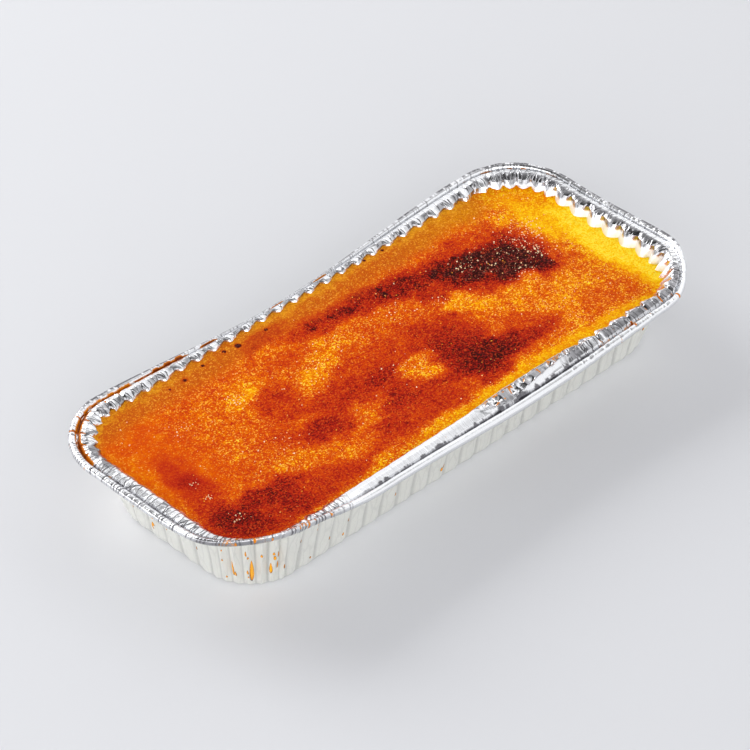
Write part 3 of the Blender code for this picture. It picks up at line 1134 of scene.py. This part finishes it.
def foil_material(settings):
    """Aluminium foil, cold pressed: it gives the eye a bright creased inside, with sharp white
    reflections, painted shade in its creases and grooves, a soft matte outside, and amber sugar
    burnt on in the folds."""
    material, add = new_material("pressed_aluminium_foil")
    place = add("TexCoord", output="Object")
    rim_map = add("UVMap")
    # One of the values read here paints shade and dark reflections into the foil's colour.
    matte, stain, painted_shade, crease, frost = (
        add("Attribute", output="Fac", attribute_name=name)
        for name in ("matte", "stain", "painted_shade", "crease", "frost"))

    # Folds drawn across the rim: sharp lines between the cells, and a tilt inside each cell.
    wander = add("TexNoise", {
        "Vector": rim_map, "Scale": DRAWN_BENDS, "Detail": 1.0}, "Color",
        noise_dimensions="2D")
    bent = add("VectorMath", (wander, (1.2, 0.8, 0.0), rim_map), operation="MULTIPLY_ADD")
    drawn = add("Mapping", {
        "Vector": bent, "Scale": (1.0 / DRAWN_ALONG, 1.0 / DRAWN_ACROSS, 1.0)})
    edges, cells = (
        add("TexVoronoi", {"Vector": drawn, "Scale": 1.0}, voronoi_dimensions="2D", feature=feature)
        for feature in ("DISTANCE_TO_EDGE", "F1"))
    folds = add("MapRange", (edges, 0.03, 0.1, 1.0, 0.0))
    folds = add("Math", (folds, crease), operation="MULTIPLY")
    tilts = add("Math", (cells, crease), operation="MULTIPLY")
    tilts = add("Math", (tilts, 0.22), operation="MULTIPLY")
    height = add("Math", (tilts, folds), operation="SUBTRACT")
    creased = add("Bump", {"Height": height, "Strength": 0.8, "Distance": FOLD_BUMP * MM})

    # Dimples, strong on the matte outside and faint inside.
    dimples = add("TexNoise", {
        "Vector": place, "Scale": 1.0 / (DIMPLES * MM), "Detail": 3.0, "Roughness": 0.6})
    outside = add("Math", (matte, 0.75), operation="MULTIPLY")
    inside = add("Math", (crease, 0.05), operation="MULTIPLY")
    beaten = add("Math", (outside, inside), operation="ADD")
    beaten = add("Math", (beaten, 0.03), operation="ADD")
    hammered = add("Bump", {
        "Height": dimples, "Strength": beaten, "Distance": DIMPLE_BUMP * MM, "Normal": creased})
    bright_rough = add("MapRange", (dimples, 0.3, 0.7, 0.14, 0.26))
    dull = add("Math", (matte, frost), operation="MAXIMUM")
    rough = add("Mix", {0: dull, 2: bright_rough, 3: 0.65})

    # The metal's colour, turned dark grey by painted shade in its drawn folds and by the painted
    # shade marks.
    bright, pale = tuple(settings.foil_colour), tuple(settings.matte_colour)
    metal = add("Mix", {0: matte, 6: bright, 7: pale}, **COLOURS)
    dark = add("Math", (folds, 0.8), operation="MULTIPLY")
    dark = add("Math", (painted_shade, dark), operation="MAXIMUM")
    metal = add("Mix", {0: dark, 6: metal, 7: linear("4A464C")}, **COLOURS)

    # Burnt sugar with a ragged edge.
    ragged = add("TexNoise", {"Vector": place, "Scale": 1.0 / (STAIN_EDGE * MM)})
    ragged = add("Math", (ragged, 0.5), operation="MULTIPLY")
    sticky = add("Math", (stain, ragged), operation="ADD")
    sticky = add("MapRange", (sticky, 0.62, 0.82, 0.0, 1.0))
    caramel = add("ValToRGB", (stain,))
    fill_ramp(caramel, ((0.1, "F6B52E"), (0.45, "E08C12"), (0.8, "C2660A"), (1.0, "8A3C08")))
    shader = add("BsdfPrincipled", {
        "Base Color": add("Mix", {0: sticky, 6: metal, 7: caramel}, **COLOURS),
        "Metallic": add("Math", (1.0, sticky), operation="SUBTRACT"),
        "Roughness": rough, "Normal": hammered, "Specular IOR Level": 0.15})
    add("OutputMaterial", (shader,))
    return material


# Sizes of the crust's patterns, and the depth of its crystals. Real caramel breaks into finer
# crystals, but these are as coarse as the render needs to show them.
CRYSTALS = 0.42
MOTTLE = 2.4
CRYSTAL_BUMP = 0.12
# The dull far band turns from its left colour to its right one between these X.
BAND_TURN = (35.0, 82.0)
# Sizes of the uneven tint over the loose grains and over the caramel drops.
GRAIN_TINT = 0.3
DROP_TINT = 0.9
# Colours of the crust from pale custard to char: (heat, colour).
BROWNING = (
    (0.0, "FFE342"), (0.05, "FFCB0C"), (0.12, "EE9002"), (0.18, "E67B05"), (0.25, "DF6804"),
    (0.33, "D95804"), (0.45, "CE480A"), (0.55, "C43B0E"), (0.68, "B52912"), (0.78, "9A1D10"),
    (0.88, "6C1210"), (1.0, "30110E"))


def custard_material(settings):
    """Baked custard under burnt sugar: it gives the eye pale yellow through orange and red to
    charred black, speckled by crystals that each took the flame in their own way."""
    material, add = new_material("burnt_sugar_custard")
    place = add("TexCoord", output="Object")
    browning, band, fringe, grainy = (
        add("Attribute", output="Fac", attribute_name=name)
        for name in ("browning", "band", "fringe", "graininess"))

    # Each crystal has a random value, and the mottle spreads over several crystals.
    crystals = add("TexVoronoi", {"Vector": place, "Scale": 1.0 / (CRYSTALS * MM)}, feature="F1")
    crystal = add("SeparateColor", (crystals.node.outputs["Color"],))
    mottle = add("TexNoise", {
        "Vector": place, "Scale": 1.0 / (MOTTLE * MM), "Detail": 5.0, "Roughness": 0.72})
    specks = add("Math", (0.5, crystal), operation="SUBTRACT")
    specks = add("Math", (specks, 0.42), operation="MULTIPLY")
    clouds = add("Math", (mottle, 0.5), operation="SUBTRACT")
    clouds = add("Math", (clouds, 0.6), operation="MULTIPLY")
    uneven = add("Math", (specks, clouds), operation="ADD")
    uneven = add("Math", (uneven, grainy), operation="MULTIPLY")
    browned = add("ValToRGB", (add("Math", (browning, uneven), operation="ADD"),))
    fill_ramp(browned, BROWNING)

    # The dull band of the far side: tan to golden, toasted in clouds, dark and bright crystals.
    rightward = add("MapRange", (
        add("SeparateXYZ", (place,), "X"), BAND_TURN[0] * MM, BAND_TURN[1] * MM, 0.0, 1.0))
    left, right = tuple(settings.band_left), tuple(settings.band_right)
    dull = add("Mix", {0: rightward, 6: left, 7: right}, **COLOURS)
    toasted = add("MapRange", (mottle, 0.4, 0.62, 0.0, 0.5))
    dark_crystals = add("MapRange", (crystal, 0.5, 0.0, 0.0, 0.4))
    bright_crystals = add("MapRange", (crystal, 0.55, 1.0, 0.0, 0.5))
    for share, hex_code in (
            (fringe, "EBA020"), (toasted, "B84A10"), (dark_crystals, "A8480A"),
            (bright_crystals, "F0A81C")):
        dull = add("Mix", {0: share, 6: dull, 7: linear(hex_code)}, **COLOURS)
    colour = add("Mix", {0: band, 6: browned, 7: dull}, **COLOURS)

    # Painted glints: highlights painted onto the crystals of the sandy parts, and ash on the charred
    # ones.
    painted_glints = add("MapRange", (crystal, 0.83, 0.95, 0.0, 0.7))
    sandy = add("MapRange", (browning, 0.15, 0.55, 1.0, 0.1))
    sandy = add("Math", (sandy, grainy), operation="MULTIPLY")
    painted_glints = add("Math", (painted_glints, sandy), operation="MULTIPLY")
    charred = add("MapRange", (browning, 0.91, 0.99, 0.0, 1.0))
    ash = add("MapRange", (crystal, 0.55, 1.0, 0.0, 0.14))
    ash = add("Math", (charred, ash), operation="MULTIPLY")
    for share, hex_code in ((painted_glints, "FFC05C"), (ash, "8A6A68")):
        colour = add("Mix", {0: share, 6: colour, 7: linear(hex_code)}, **COLOURS)
    strength = add("Math", (grainy, 0.5), operation="MULTIPLY")
    relief = add("Bump", {
        "Height": crystals, "Strength": strength, "Distance": CRYSTAL_BUMP * MM})
    shader = add("BsdfPrincipled", {
        "Base Color": colour, "Roughness": 0.35, "Normal": relief, "Specular IOR Level": 0.012})
    add("OutputMaterial", (shader,))
    return material


def sugar_material(settings):
    """Loose sugar: it gives the eye small glossy crystals, some clear and white, some golden."""
    material, add = new_material("sugar_crystals")
    white = add("Attribute", output="Fac", attribute_name="white")
    uneven = add("TexNoise", {
        "Vector": add("TexCoord", output="Object"), "Scale": 1.0 / (GRAIN_TINT * MM)})
    golden = add("Mix", {0: uneven, 6: linear("F2920E"), 7: linear("FFB834")}, **COLOURS)
    shader = add("BsdfPrincipled", {
        "Base Color": add("Mix", {0: white, 6: golden, 7: tuple(settings.sugar_colour)}, **COLOURS),
        "Roughness": 0.25, "Specular IOR Level": 0.2})
    add("OutputMaterial", (shader,))
    return material


def caramel_material():
    """Caramel, burnt sugar that ran down the foil: it gives the eye glossy amber drops, which
    are golden where they are thick and brown at their thin rim."""
    material, add = new_material("amber_caramel")
    thickness = add("Attribute", output="Fac", attribute_name="thickness")
    uneven = add("TexNoise", {
        "Vector": add("TexCoord", output="Object"), "Scale": 1.0 / (DROP_TINT * MM)})
    uneven = add("Math", (uneven, 0.5), operation="SUBTRACT")
    uneven = add("Math", (uneven, 0.6), operation="MULTIPLY")
    colour = add("ValToRGB", (add("Math", (thickness, uneven), operation="ADD"),))
    fill_ramp(colour, ((0.3, "6B3A0C"), (0.5, "D98A10"), (0.8, "F2A80A")))
    shader = add("BsdfPrincipled", {
        "Base Color": colour, "Roughness": 0.25, "Specular IOR Level": 0.2})
    add("OutputMaterial", (shader,))
    return material


def floor_material(settings):
    """Board with matte paint: it gives the eye a plain pale ground that is faintly uneven."""
    material, add = new_material("matte_painted_board")
    uneven = add("TexNoise", {"Vector": add("TexCoord", output="Object"), "Scale": 6.0})
    pale = tuple(settings.floor_colour)
    darker = tuple(0.985 * channel for channel in pale[:3]) + (1.0,)
    shader = add("BsdfPrincipled", {
        "Base Color": add("Mix", {0: uneven, 6: pale, 7: darker}, **COLOURS),
        "Roughness": 0.6, "Specular IOR Level": 0.2})
    add("OutputMaterial", (shader,))
    return material


# ------------------------------------------------------------------ operators

class AddTrayWall(bpy.types.Operator):
    """Add the pleated wall of the foil tray with its floor"""

    bl_idname = "crema.add_tray_wall"
    bl_label = "Tray Wall"

    def execute(self, context):
        settings = context.scene.crema_tray
        stations = []
        for inset in reversed(FLOOR_INSETS):
            radius = max(WALL_RADIUS_BASE - 0.6 * (inset - 16.0), LEAST_RADIUS)
            stations.append(Station(inset, 0.0, FLOOR_TRAVEL, radius))
        for height in OUTER_HEIGHTS:
            stations.append(wall_station(height, -0.5, settings))
        stations.append(wall_station(WALL_TOP_Z + TUCK, -0.35, settings))
        outside = len(stations)
        stations.append(wall_station(WALL_TOP_Z + TUCK, 0.35, settings))
        for height in INNER_HEIGHTS:
            stations.append(wall_station(height, 0.5, settings))
        wall = wrapped_sheet("tray_wall", stations, settings, outside)
        finish_piece(wall, foil_material(settings), "foil_tray", FOIL_ANGLE)
        return {"FINISHED"}


class AddTrayRim(bpy.types.Operator):
    """Add the lip, flange, groove and rolled bead of the foil tray"""

    bl_idname = "crema.add_tray_rim"
    bl_label = "Tray Rim"

    def execute(self, context):
        settings = context.scene.crema_tray
        tuck = lip_station(1.0, 0.3 * SHEET, settings)
        stations = [tuck]
        for step in range(LIP_STEPS, -1, -1):
            stations.append(lip_station(step / LIP_STEPS, -0.5 * SHEET, settings))
        for step in range(1, FLANGE_STEPS + 1):
            stations.append(flange_station(step / FLANGE_STEPS, -0.5 * SHEET, settings))
        for inset, height in GROOVE:
            stations.append(groove_station(inset, height))
        for turn in range(*BEAD_TURNS):
            stations.append(bead_station(turn, settings))
        stations.append(flange_station(*BEAD_TUCK, settings)._replace(travel=GROOVE_TRAVEL))
        for share in UNDER_FLANGE:
            stations.append(flange_station(share, 0.5 * SHEET, settings))
        for share in UNDER_LIP:
            stations.append(lip_station(share, 0.5 * SHEET, settings))
        stations.append(tuck)
        rim = wrapped_sheet("tray_rim", stations, settings, sugared=True)
        finish_piece(rim, foil_material(settings), "foil_tray", FOIL_ANGLE)
        return {"FINISHED"}


def custard_looks(x, y, distance):
    """Return the values that the custard's material reads, at points of the plan."""
    heat = crust_heat(x, y)
    for spot_x, spot_y, radius in CHAR_SPOTS:
        away = np.hypot(x - spot_x, y - spot_y) / radius
        heat = np.maximum(heat, smooth_step(1.6 - away))
    spotted = rise(heat, 0.75, 0.2)
    toasted = rise(heat, 0.46, 0.2)
    fringe = 0.9 * smooth_step((4.6 + 3.0 * cloud(x, y, 2.2, 91) - distance) / 4.5)
    thin = fall(x, -18.0, 10.0) * rise(x, -66.0, 10.0)
    return {
        "browning": heat,
        "band": far_band(x, y) * (1.0 - spotted) * (1.0 - 0.6 * toasted),
        "fringe": fringe * (1.0 - 0.5 * thin),
        "graininess": crust_grain(x, y, heat),
    }


# Steps by which the custard's edge is drawn down inside the tray: (drop, scale of the step).
# The last one is flat, at the bottom.
CUSTARD_STEPS = (
    (0.8, (0.962, 0.90, 1.0)),
    (11.0, (0.97, 0.94, 1.0)),
    (9.5, (0.965, 0.93, 0.0)),
)
CUSTARD_BOTTOM = 0.3


def close_below(custard):
    """Extrude the edge of the custard's top down inside the tray and close it."""
    bpy.ops.object.mode_set(mode="EDIT")
    bpy.ops.mesh.select_mode(type="EDGE")
    bpy.ops.mesh.select_all(action="DESELECT")
    bpy.ops.mesh.select_non_manifold(extend=False)
    for drop, shrink in CUSTARD_STEPS:
        down = {"value": (0.0, 0.0, -drop * MM)}
        bpy.ops.mesh.extrude_region_move(TRANSFORM_OT_translate=down)
        bpy.ops.transform.resize(value=shrink, center_override=(0.0, 0.0, CUSTARD_BOTTOM * MM))
    bpy.ops.mesh.edge_face_add()
    bpy.ops.mesh.select_all(action="SELECT")
    bpy.ops.mesh.normals_make_consistent(inside=False)
    bpy.ops.mesh.select_mode(type="VERT")
    bpy.ops.object.mode_set(mode="OBJECT")


class AddCustard(bpy.types.Operator):
    """Add the set custard with its burnt sugar crust"""

    bl_idname = "crema.add_custard"
    bl_label = "Custard"

    def execute(self, context):
        settings = context.scene.crema_custard
        x, y, distance = custard_plan(settings.along, settings.across)
        climb = EDGE_CLIMB * np.exp(-distance / 0.8)
        z = custard_level(x, y) + crust_relief(x, y) * smooth_step(distance / 2.0) + climb
        bpy.ops.object.select_all(action="DESELECT")
        bpy.ops.mesh.primitive_grid_add(
            x_subdivisions=settings.along, y_subdivisions=settings.across, size=1.0)
        custard = context.object
        custard.name = "custard_set"
        custard.data.name = "custard_set"
        points = np.stack([x, y, z], axis=-1) * MM
        custard.data.vertices.foreach_set("co", points.astype(np.float32).ravel())
        for look, values in custard_looks(x, y, distance).items():
            store_values(custard, look, values)
        custard.data.update()
        close_below(custard)
        finish_piece(custard, custard_material(settings), "custard", CRUST_ANGLE)
        return {"FINISHED"}


def joined_copies(name, template, origins, frames):
    """Join copies of a small mesh: template points, origins and 3 by 3 frames in mm."""
    points, faces = template
    count = len(origins)
    placed = np.einsum("vk,nkc->nvc", points, frames) + origins[:, None, :]
    shifted = faces[None, :, :] + (np.arange(count) * len(points))[:, None, None]
    placed = placed.reshape(-1, 3) * MM
    shifted = shifted.reshape(-1, faces.shape[1])
    mesh = bpy.data.meshes.new(name)
    mesh.from_pydata(placed.tolist(), [], shifted.tolist())
    mesh.update()
    joined = bpy.data.objects.new(name, mesh)
    bpy.context.collection.objects.link(joined)
    return joined


def template_shape(operator, **options):
    """Return the points and faces of a primitive of about unit size."""
    bpy.ops.object.select_all(action="DESELECT")
    operator(**options)
    shape = bpy.context.object
    points = np.array([tuple(vertex.co) for vertex in shape.data.vertices])
    faces = np.array([tuple(face.vertices) for face in shape.data.polygons])
    bpy.ops.object.delete()
    return points, faces


def random_frames(random, count):
    """Return frames turned any way in plan and tilted a little, one for each copy."""
    turn = random.uniform(0.0, 2.0 * math.pi, count)
    tilt = random.uniform(-0.35, 0.35, (count, 2))
    flat = np.zeros(count)
    up = np.stack([tilt[:, 0], tilt[:, 1], 1.0 + flat], axis=1)
    up /= np.linalg.norm(up, axis=1, keepdims=True)
    along = np.stack([np.cos(turn), np.sin(turn), flat], axis=1)
    aside = np.cross(up, along)
    aside /= np.linalg.norm(aside, axis=1, keepdims=True)
    return np.stack([np.cross(aside, up), aside, up], axis=1)


# Half the length and width of the area where loose grains lie, and the places tried for each
# grain. Then a grain's least half size, with the most that is added to it alone and in a cluster.
GRAIN_AREA = (94.0, 37.0)
GRAIN_TRIES = 4
GRAIN_LEAST = 0.07
GRAIN_MORE = 0.10
CLUSTER_GRAIN_MORE = 0.15

# Clusters of white sugar that did not melt, which hold a share of the grain count between
# them: (x, y, spread, share of the clustered grains).
CLUSTERED = 0.14
SUGAR_CLUSTERS = (
    (63.0, 9.0, 7.5, 0.12),
    (76.0, 14.0, 5.0, 0.16),
    (74.0, 5.0, 3.0, 0.08),
    (50.0, 14.0, 4.0, 0.06),
    (62.0, 0.0, 3.0, 0.05),
    (80.0, 16.0, 3.0, 0.03),
    (-50.0, 17.0, 1.8, 0.06),
    (-72.0, 18.5, 2.4, 0.03),
    (-87.0, -11.0, 1.0, 0.02),
    (-86.5, -2.5, 1.2, 0.02),
    (-87.0, -24.0, 2.4, 0.03),
    (-53.0, -9.5, 4.5, 0.05),
    (31.0, 7.5, 1.8, 0.03),
    (16.0, 14.0, 4.5, 0.04),
    (0.0, -10.0, 6.0, 0.05),
    (-24.0, 10.0, 5.0, 0.03),
    (-10.0, 13.0, 6.0, 0.04),
)


class AddSugar(bpy.types.Operator):
    """Add the loose grains of sugar on the crust"""

    bl_idname = "crema.add_sugar"
    bl_label = "Sugar Grains"

    def execute(self, context):
        settings = context.scene.crema_custard
        random = np.random.default_rng(5)
        count = settings.grain_count
        x, y = (random.uniform(-half, half, GRAIN_TRIES * count) for half in GRAIN_AREA)
        heat = crust_heat(x, y)
        wanted = fall(heat, 0.5, 0.3)
        wanted = 0.05 + 0.8 * wanted * rise(heat, 0.08, 0.12)
        wanted = wanted * (1.0 - 0.9 * far_band(x, y)) * smooth_step(0.75 + cloud(x, y, 5.0, 101))
        wanted = wanted * (0.35 + 0.65 * rise(x, -50.0, 60.0))
        kept = np.flatnonzero(random.uniform(0.0, 1.0, len(x)) < wanted)[:count]
        x, y = x[kept], y[kept]
        white = random.uniform(0.0, 1.0, len(x)) ** 9
        size = GRAIN_LEAST + GRAIN_MORE * random.uniform(0.0, 1.0, len(x)) ** 2
        for centre_x, centre_y, spread, share in SUGAR_CLUSTERS:
            number = int(CLUSTERED * count * share)
            x = np.append(x, centre_x + spread * random.normal(size=number))
            y = np.append(y, centre_y + 0.8 * spread * random.normal(size=number))
            white = np.append(white, random.uniform(0.5, 1.0, number))
            larger = CLUSTER_GRAIN_MORE * random.uniform(0.0, 1.0, number) ** 2.5
            size = np.append(size, GRAIN_LEAST + larger)
        z = custard_level(x, y) + crust_relief(x, y) + 0.25 * size
        template = template_shape(bpy.ops.mesh.primitive_cube_add, size=2.0)
        stretched = random.uniform(0.7, 1.2, (len(x), 3, 1)) * size[:, None, None]
        frames = random_frames(random, len(x)) * stretched
        sugar = joined_copies("sugar_grains", template, np.stack([x, y, z], axis=-1), frames)
        store_values(sugar, "white", np.repeat(white, len(template[0])))
        finish_piece(sugar, sugar_material(settings), "custard", GRAIN_ANGLE)
        return {"FINISHED"}


# How much a drop narrows upward, and how far it stands out from the wall.
DROP_TAPER = 0.55
DROP_THICKNESS = 0.22
# Small drops: the most on one fold, how far they lie aside from it, and the ranges of their
# widths, heights on the wall and lengths as a share of the width.
MOST_DROPS = 3
DROP_ASIDE = 0.8
DROP_WIDTHS = (0.4, 1.0)
DROP_HEIGHTS = (3.0, 21.0)
DROP_SHARES = (1.6, 3.4)

# Long runs of burnt sugar at the near corner: (place, height, length, width).
SUGAR_RUNS = (
    (-29.3, 9.5, 9.0, 1.0),
    (-19.0, 9.5, 13.5, 1.7),
    (-21.5, 19.0, 3.0, 0.8),
    (-8.5, 9.0, 6.5, 1.1),
    (-4.2, 15.0, 3.0, 0.8),
    (-4.8, 10.0, 4.5, 0.8),
)


def wall_skin(place, height):
    """Return points on the outside of the pleated wall."""
    inset, fold = wall_insets(height)
    fold = fold * pleat(place)
    x, y = outline(place, inset - 0.5 * SHEET + fold, wall_radius(height) - fold)
    return np.stack([x, y, height], axis=-1)


class AddCaramelRuns(bpy.types.Operator):
    """Add the drops of burnt sugar that ran down the folds of the wall"""

    bl_idname = "crema.add_caramel_runs"
    bl_label = "Caramel Runs"

    def execute(self, context):
        random = np.random.default_rng(9)
        runs = list(SUGAR_RUNS)
        for fold in OUTER_FOLDS:
            for _ in range(random.integers(0, MOST_DROPS + 1)):
                size = random.uniform(*DROP_WIDTHS)
                runs.append((
                    fold + random.uniform(-DROP_ASIDE, DROP_ASIDE), random.uniform(*DROP_HEIGHTS),
                    size * random.uniform(*DROP_SHARES), size))
        place, height, length, width = np.array(runs).T
        points, faces = template_shape(
            bpy.ops.mesh.primitive_ico_sphere_add, subdivisions=2, radius=1.0)
        points[:, 0] *= 1.0 - DROP_TAPER * points[:, 2]
        spot = wall_skin(place, height)
        aside = wall_skin(place + 0.3, height) - spot
        upward = wall_skin(place, height + 1.0) - spot
        aside /= np.linalg.norm(aside, axis=1, keepdims=True)
        upward /= np.linalg.norm(upward, axis=1, keepdims=True)
        outward = np.cross(aside, upward)
        frames = np.stack([
            aside * 0.5 * width[:, None], outward * DROP_THICKNESS,
            upward * 0.5 * length[:, None]], axis=1)
        runs = joined_copies("caramel_runs", (points, faces), spot, frames)
        store_values(runs, "thickness", np.tile(np.abs(points[:, 1]), len(spot)))
        finish_piece(runs, caramel_material(), "foil_tray")
        return {"FINISHED"}


# In metres: the floor's size, the distance of the soft lights from the tray, and their size.
FLOOR_SIZE = 6.0
LIGHT_DISTANCE = 1.6
LIGHT_SIZE = (1.1, 0.9)


class AddStage(bpy.types.Operator):
    """Add the pale floor, the soft lights and the camera"""

    bl_idname = "crema.add_stage"
    bl_label = "Stage"

    def execute(self, context):
        settings = context.scene.crema_stage
        bpy.ops.object.select_all(action="DESELECT")
        bpy.ops.mesh.primitive_plane_add(size=FLOOR_SIZE, location=(0.0, 0.0, 0.0))
        floor = context.object
        floor.name = "studio_floor"
        floor.data.materials.append(floor_material(settings))
        add_light(context, "key_light", (-0.1, 0.84, 0.52), settings.key_power)
        add_light(context, "fill_light", (-0.86, -0.15, 0.48), settings.fill_power)
        add_world(context)
        add_camera(context)
        context.scene.view_settings.view_transform = "Standard"
        return {"FINISHED"}


def add_light(context, name, direction, power):
    """Add a large soft light that shines on the tray from a direction."""
    direction = Vector(direction).normalized()
    bpy.ops.object.light_add(type="AREA", location=direction * LIGHT_DISTANCE)
    light = context.object
    light.name = name
    light.data.shape = "RECTANGLE"
    light.data.size, light.data.size_y = LIGHT_SIZE
    light.data.energy = power
    light.rotation_mode = "QUATERNION"
    light.rotation_quaternion = direction.to_track_quat("Z", "Y")


# Parts of the room that the foil mirrors: how each one joins the walls' glow, the direction
# towards it, the cosines at its soft rim and its middle, and its glow there.
ROOM_PARTS = (
    # a wide window on the left
    ("ADD", (-0.9, -0.3, 0.2), (0.25, 0.95), (0.0, 2.5)),
    # a small white card high on the right
    ("ADD", (0.6, 0.17, 0.78), (0.9, 0.97), (0.0, 0.5)),
    # a dark gap high on the left
    ("MULTIPLY", (-0.66, 0.05, 0.75), (0.7, 0.86), (1.0, 0.06)),
)


def add_world(context):
    """Light the scene with a pale room: bright walls under a dim ceiling, and its parts."""
    world = bpy.data.worlds.new("soft_studio")
    world.use_nodes = True
    world.node_tree.nodes.clear()
    add = partial(add_node, world.node_tree)
    aim = add("TexCoord", output="Generated")
    height = add("SeparateXYZ", (aim,), "Z")
    room = add("MapRange", (height, 0.66, 0.84, 1.08, 0.33), interpolation_type="SMOOTHSTEP")
    for operation, direction, cosines, glows in ROOM_PARTS:
        toward = tuple(Vector(direction).normalized())
        toward = add("VectorMath", (aim, toward), "Value", operation="DOT_PRODUCT")
        glow = add("MapRange", (toward, *cosines, *glows), interpolation_type="SMOOTHSTEP")
        room = add("Math", (room, glow), operation=operation)
    sky = add("Background", (linear("FBFBFD"), room))
    add("OutputWorld", (sky,))
    context.scene.world = world


# The camera, fitted to the photo: its angles, its distance from the point that it aims at and
# that point, both in millimetres, then the picture's pixels for each millimetre there and
# across its width.
CAMERA_TURN = math.radians(-43.65)
CAMERA_RISE = math.radians(39.48)
CAMERA_ROLL = math.radians(-0.74)
CAMERA_DISTANCE = 1400.0
CAMERA_TARGET = (0.88, 7.29, 12.0)
PHOTO_SCALE = 3.1016
PHOTO_WIDTH = 750.0


def add_camera(context):
    """Add the camera at the angle from which the tray was photographed."""
    back = Vector((
        math.sin(CAMERA_TURN) * math.cos(CAMERA_RISE),
        -math.cos(CAMERA_TURN) * math.cos(CAMERA_RISE),
        math.sin(CAMERA_RISE)))
    level = Vector((math.cos(CAMERA_TURN), math.sin(CAMERA_TURN), 0.0))
    upright = back.cross(level)
    right = math.cos(CAMERA_ROLL) * level + math.sin(CAMERA_ROLL) * upright
    up = back.cross(right)
    place = (Vector(CAMERA_TARGET) + back * CAMERA_DISTANCE) * MM
    bpy.ops.object.camera_add()
    camera = context.object
    camera.name = "photo_camera"
    turned = Matrix((right, up, back)).transposed().to_4x4()
    camera.matrix_world = Matrix.Translation(place) @ turned
    camera.data.sensor_width = 36.0
    camera.data.lens = PHOTO_SCALE * CAMERA_DISTANCE / PHOTO_WIDTH * camera.data.sensor_width
    camera.data.clip_start = 0.01
    camera.data.clip_end = 20.0
    context.scene.camera = camera


# ------------------------------------------------------------------ add-on

class CremaPanel(bpy.types.Panel):
    """Sidebar panel with the pieces and their settings"""

    bl_idname = "VIEW3D_PT_crema"
    bl_label = "Crema Catalana"
    bl_space_type = "VIEW_3D"
    bl_region_type = "UI"
    bl_category = "Crema Catalana"

    def draw(self, context):
        layout = self.layout
        for settings, operators in PANEL_ROWS:
            box = layout.box()
            group = getattr(context.scene, settings)
            for name in group.bl_rna.properties.keys():
                if name not in ("rna_type", "name"):
                    box.prop(group, name)
            for operator in operators:
                box.operator(operator)


PANEL_ROWS = (
    ("crema_tray", (AddTrayWall.bl_idname, AddTrayRim.bl_idname, AddCaramelRuns.bl_idname)),
    ("crema_custard", (AddCustard.bl_idname, AddSugar.bl_idname)),
    ("crema_stage", (AddStage.bl_idname,)),
)
SETTINGS = {
    "crema_tray": TraySettings,
    "crema_custard": CustardSettings,
    "crema_stage": StageSettings,
}
OPERATORS = (AddTrayWall, AddTrayRim, AddCaramelRuns, AddCustard, AddSugar, AddStage)


def register():
    """Register the classes and attach the settings to the scene."""
    for group in SETTINGS.values():
        bpy.utils.register_class(group)
    for name, group in SETTINGS.items():
        setattr(bpy.types.Scene, name, bpy.props.PointerProperty(type=group))
    for operator in OPERATORS:
        bpy.utils.register_class(operator)
    bpy.utils.register_class(CremaPanel)


def unregister():
    """Undo everything that register does."""
    bpy.utils.unregister_class(CremaPanel)
    for operator in reversed(OPERATORS):
        bpy.utils.unregister_class(operator)
    for name in SETTINGS:
        delattr(bpy.types.Scene, name)
    for group in reversed(SETTINGS.values()):
        bpy.utils.unregister_class(group)


def main():
    """Build the whole scene."""
    register()
    bpy.ops.crema.add_tray_wall()
    bpy.ops.crema.add_tray_rim()
    bpy.ops.crema.add_caramel_runs()
    bpy.ops.crema.add_custard()
    bpy.ops.crema.add_sugar()
    bpy.ops.crema.add_stage()


if __name__ == "__main__":
    main()
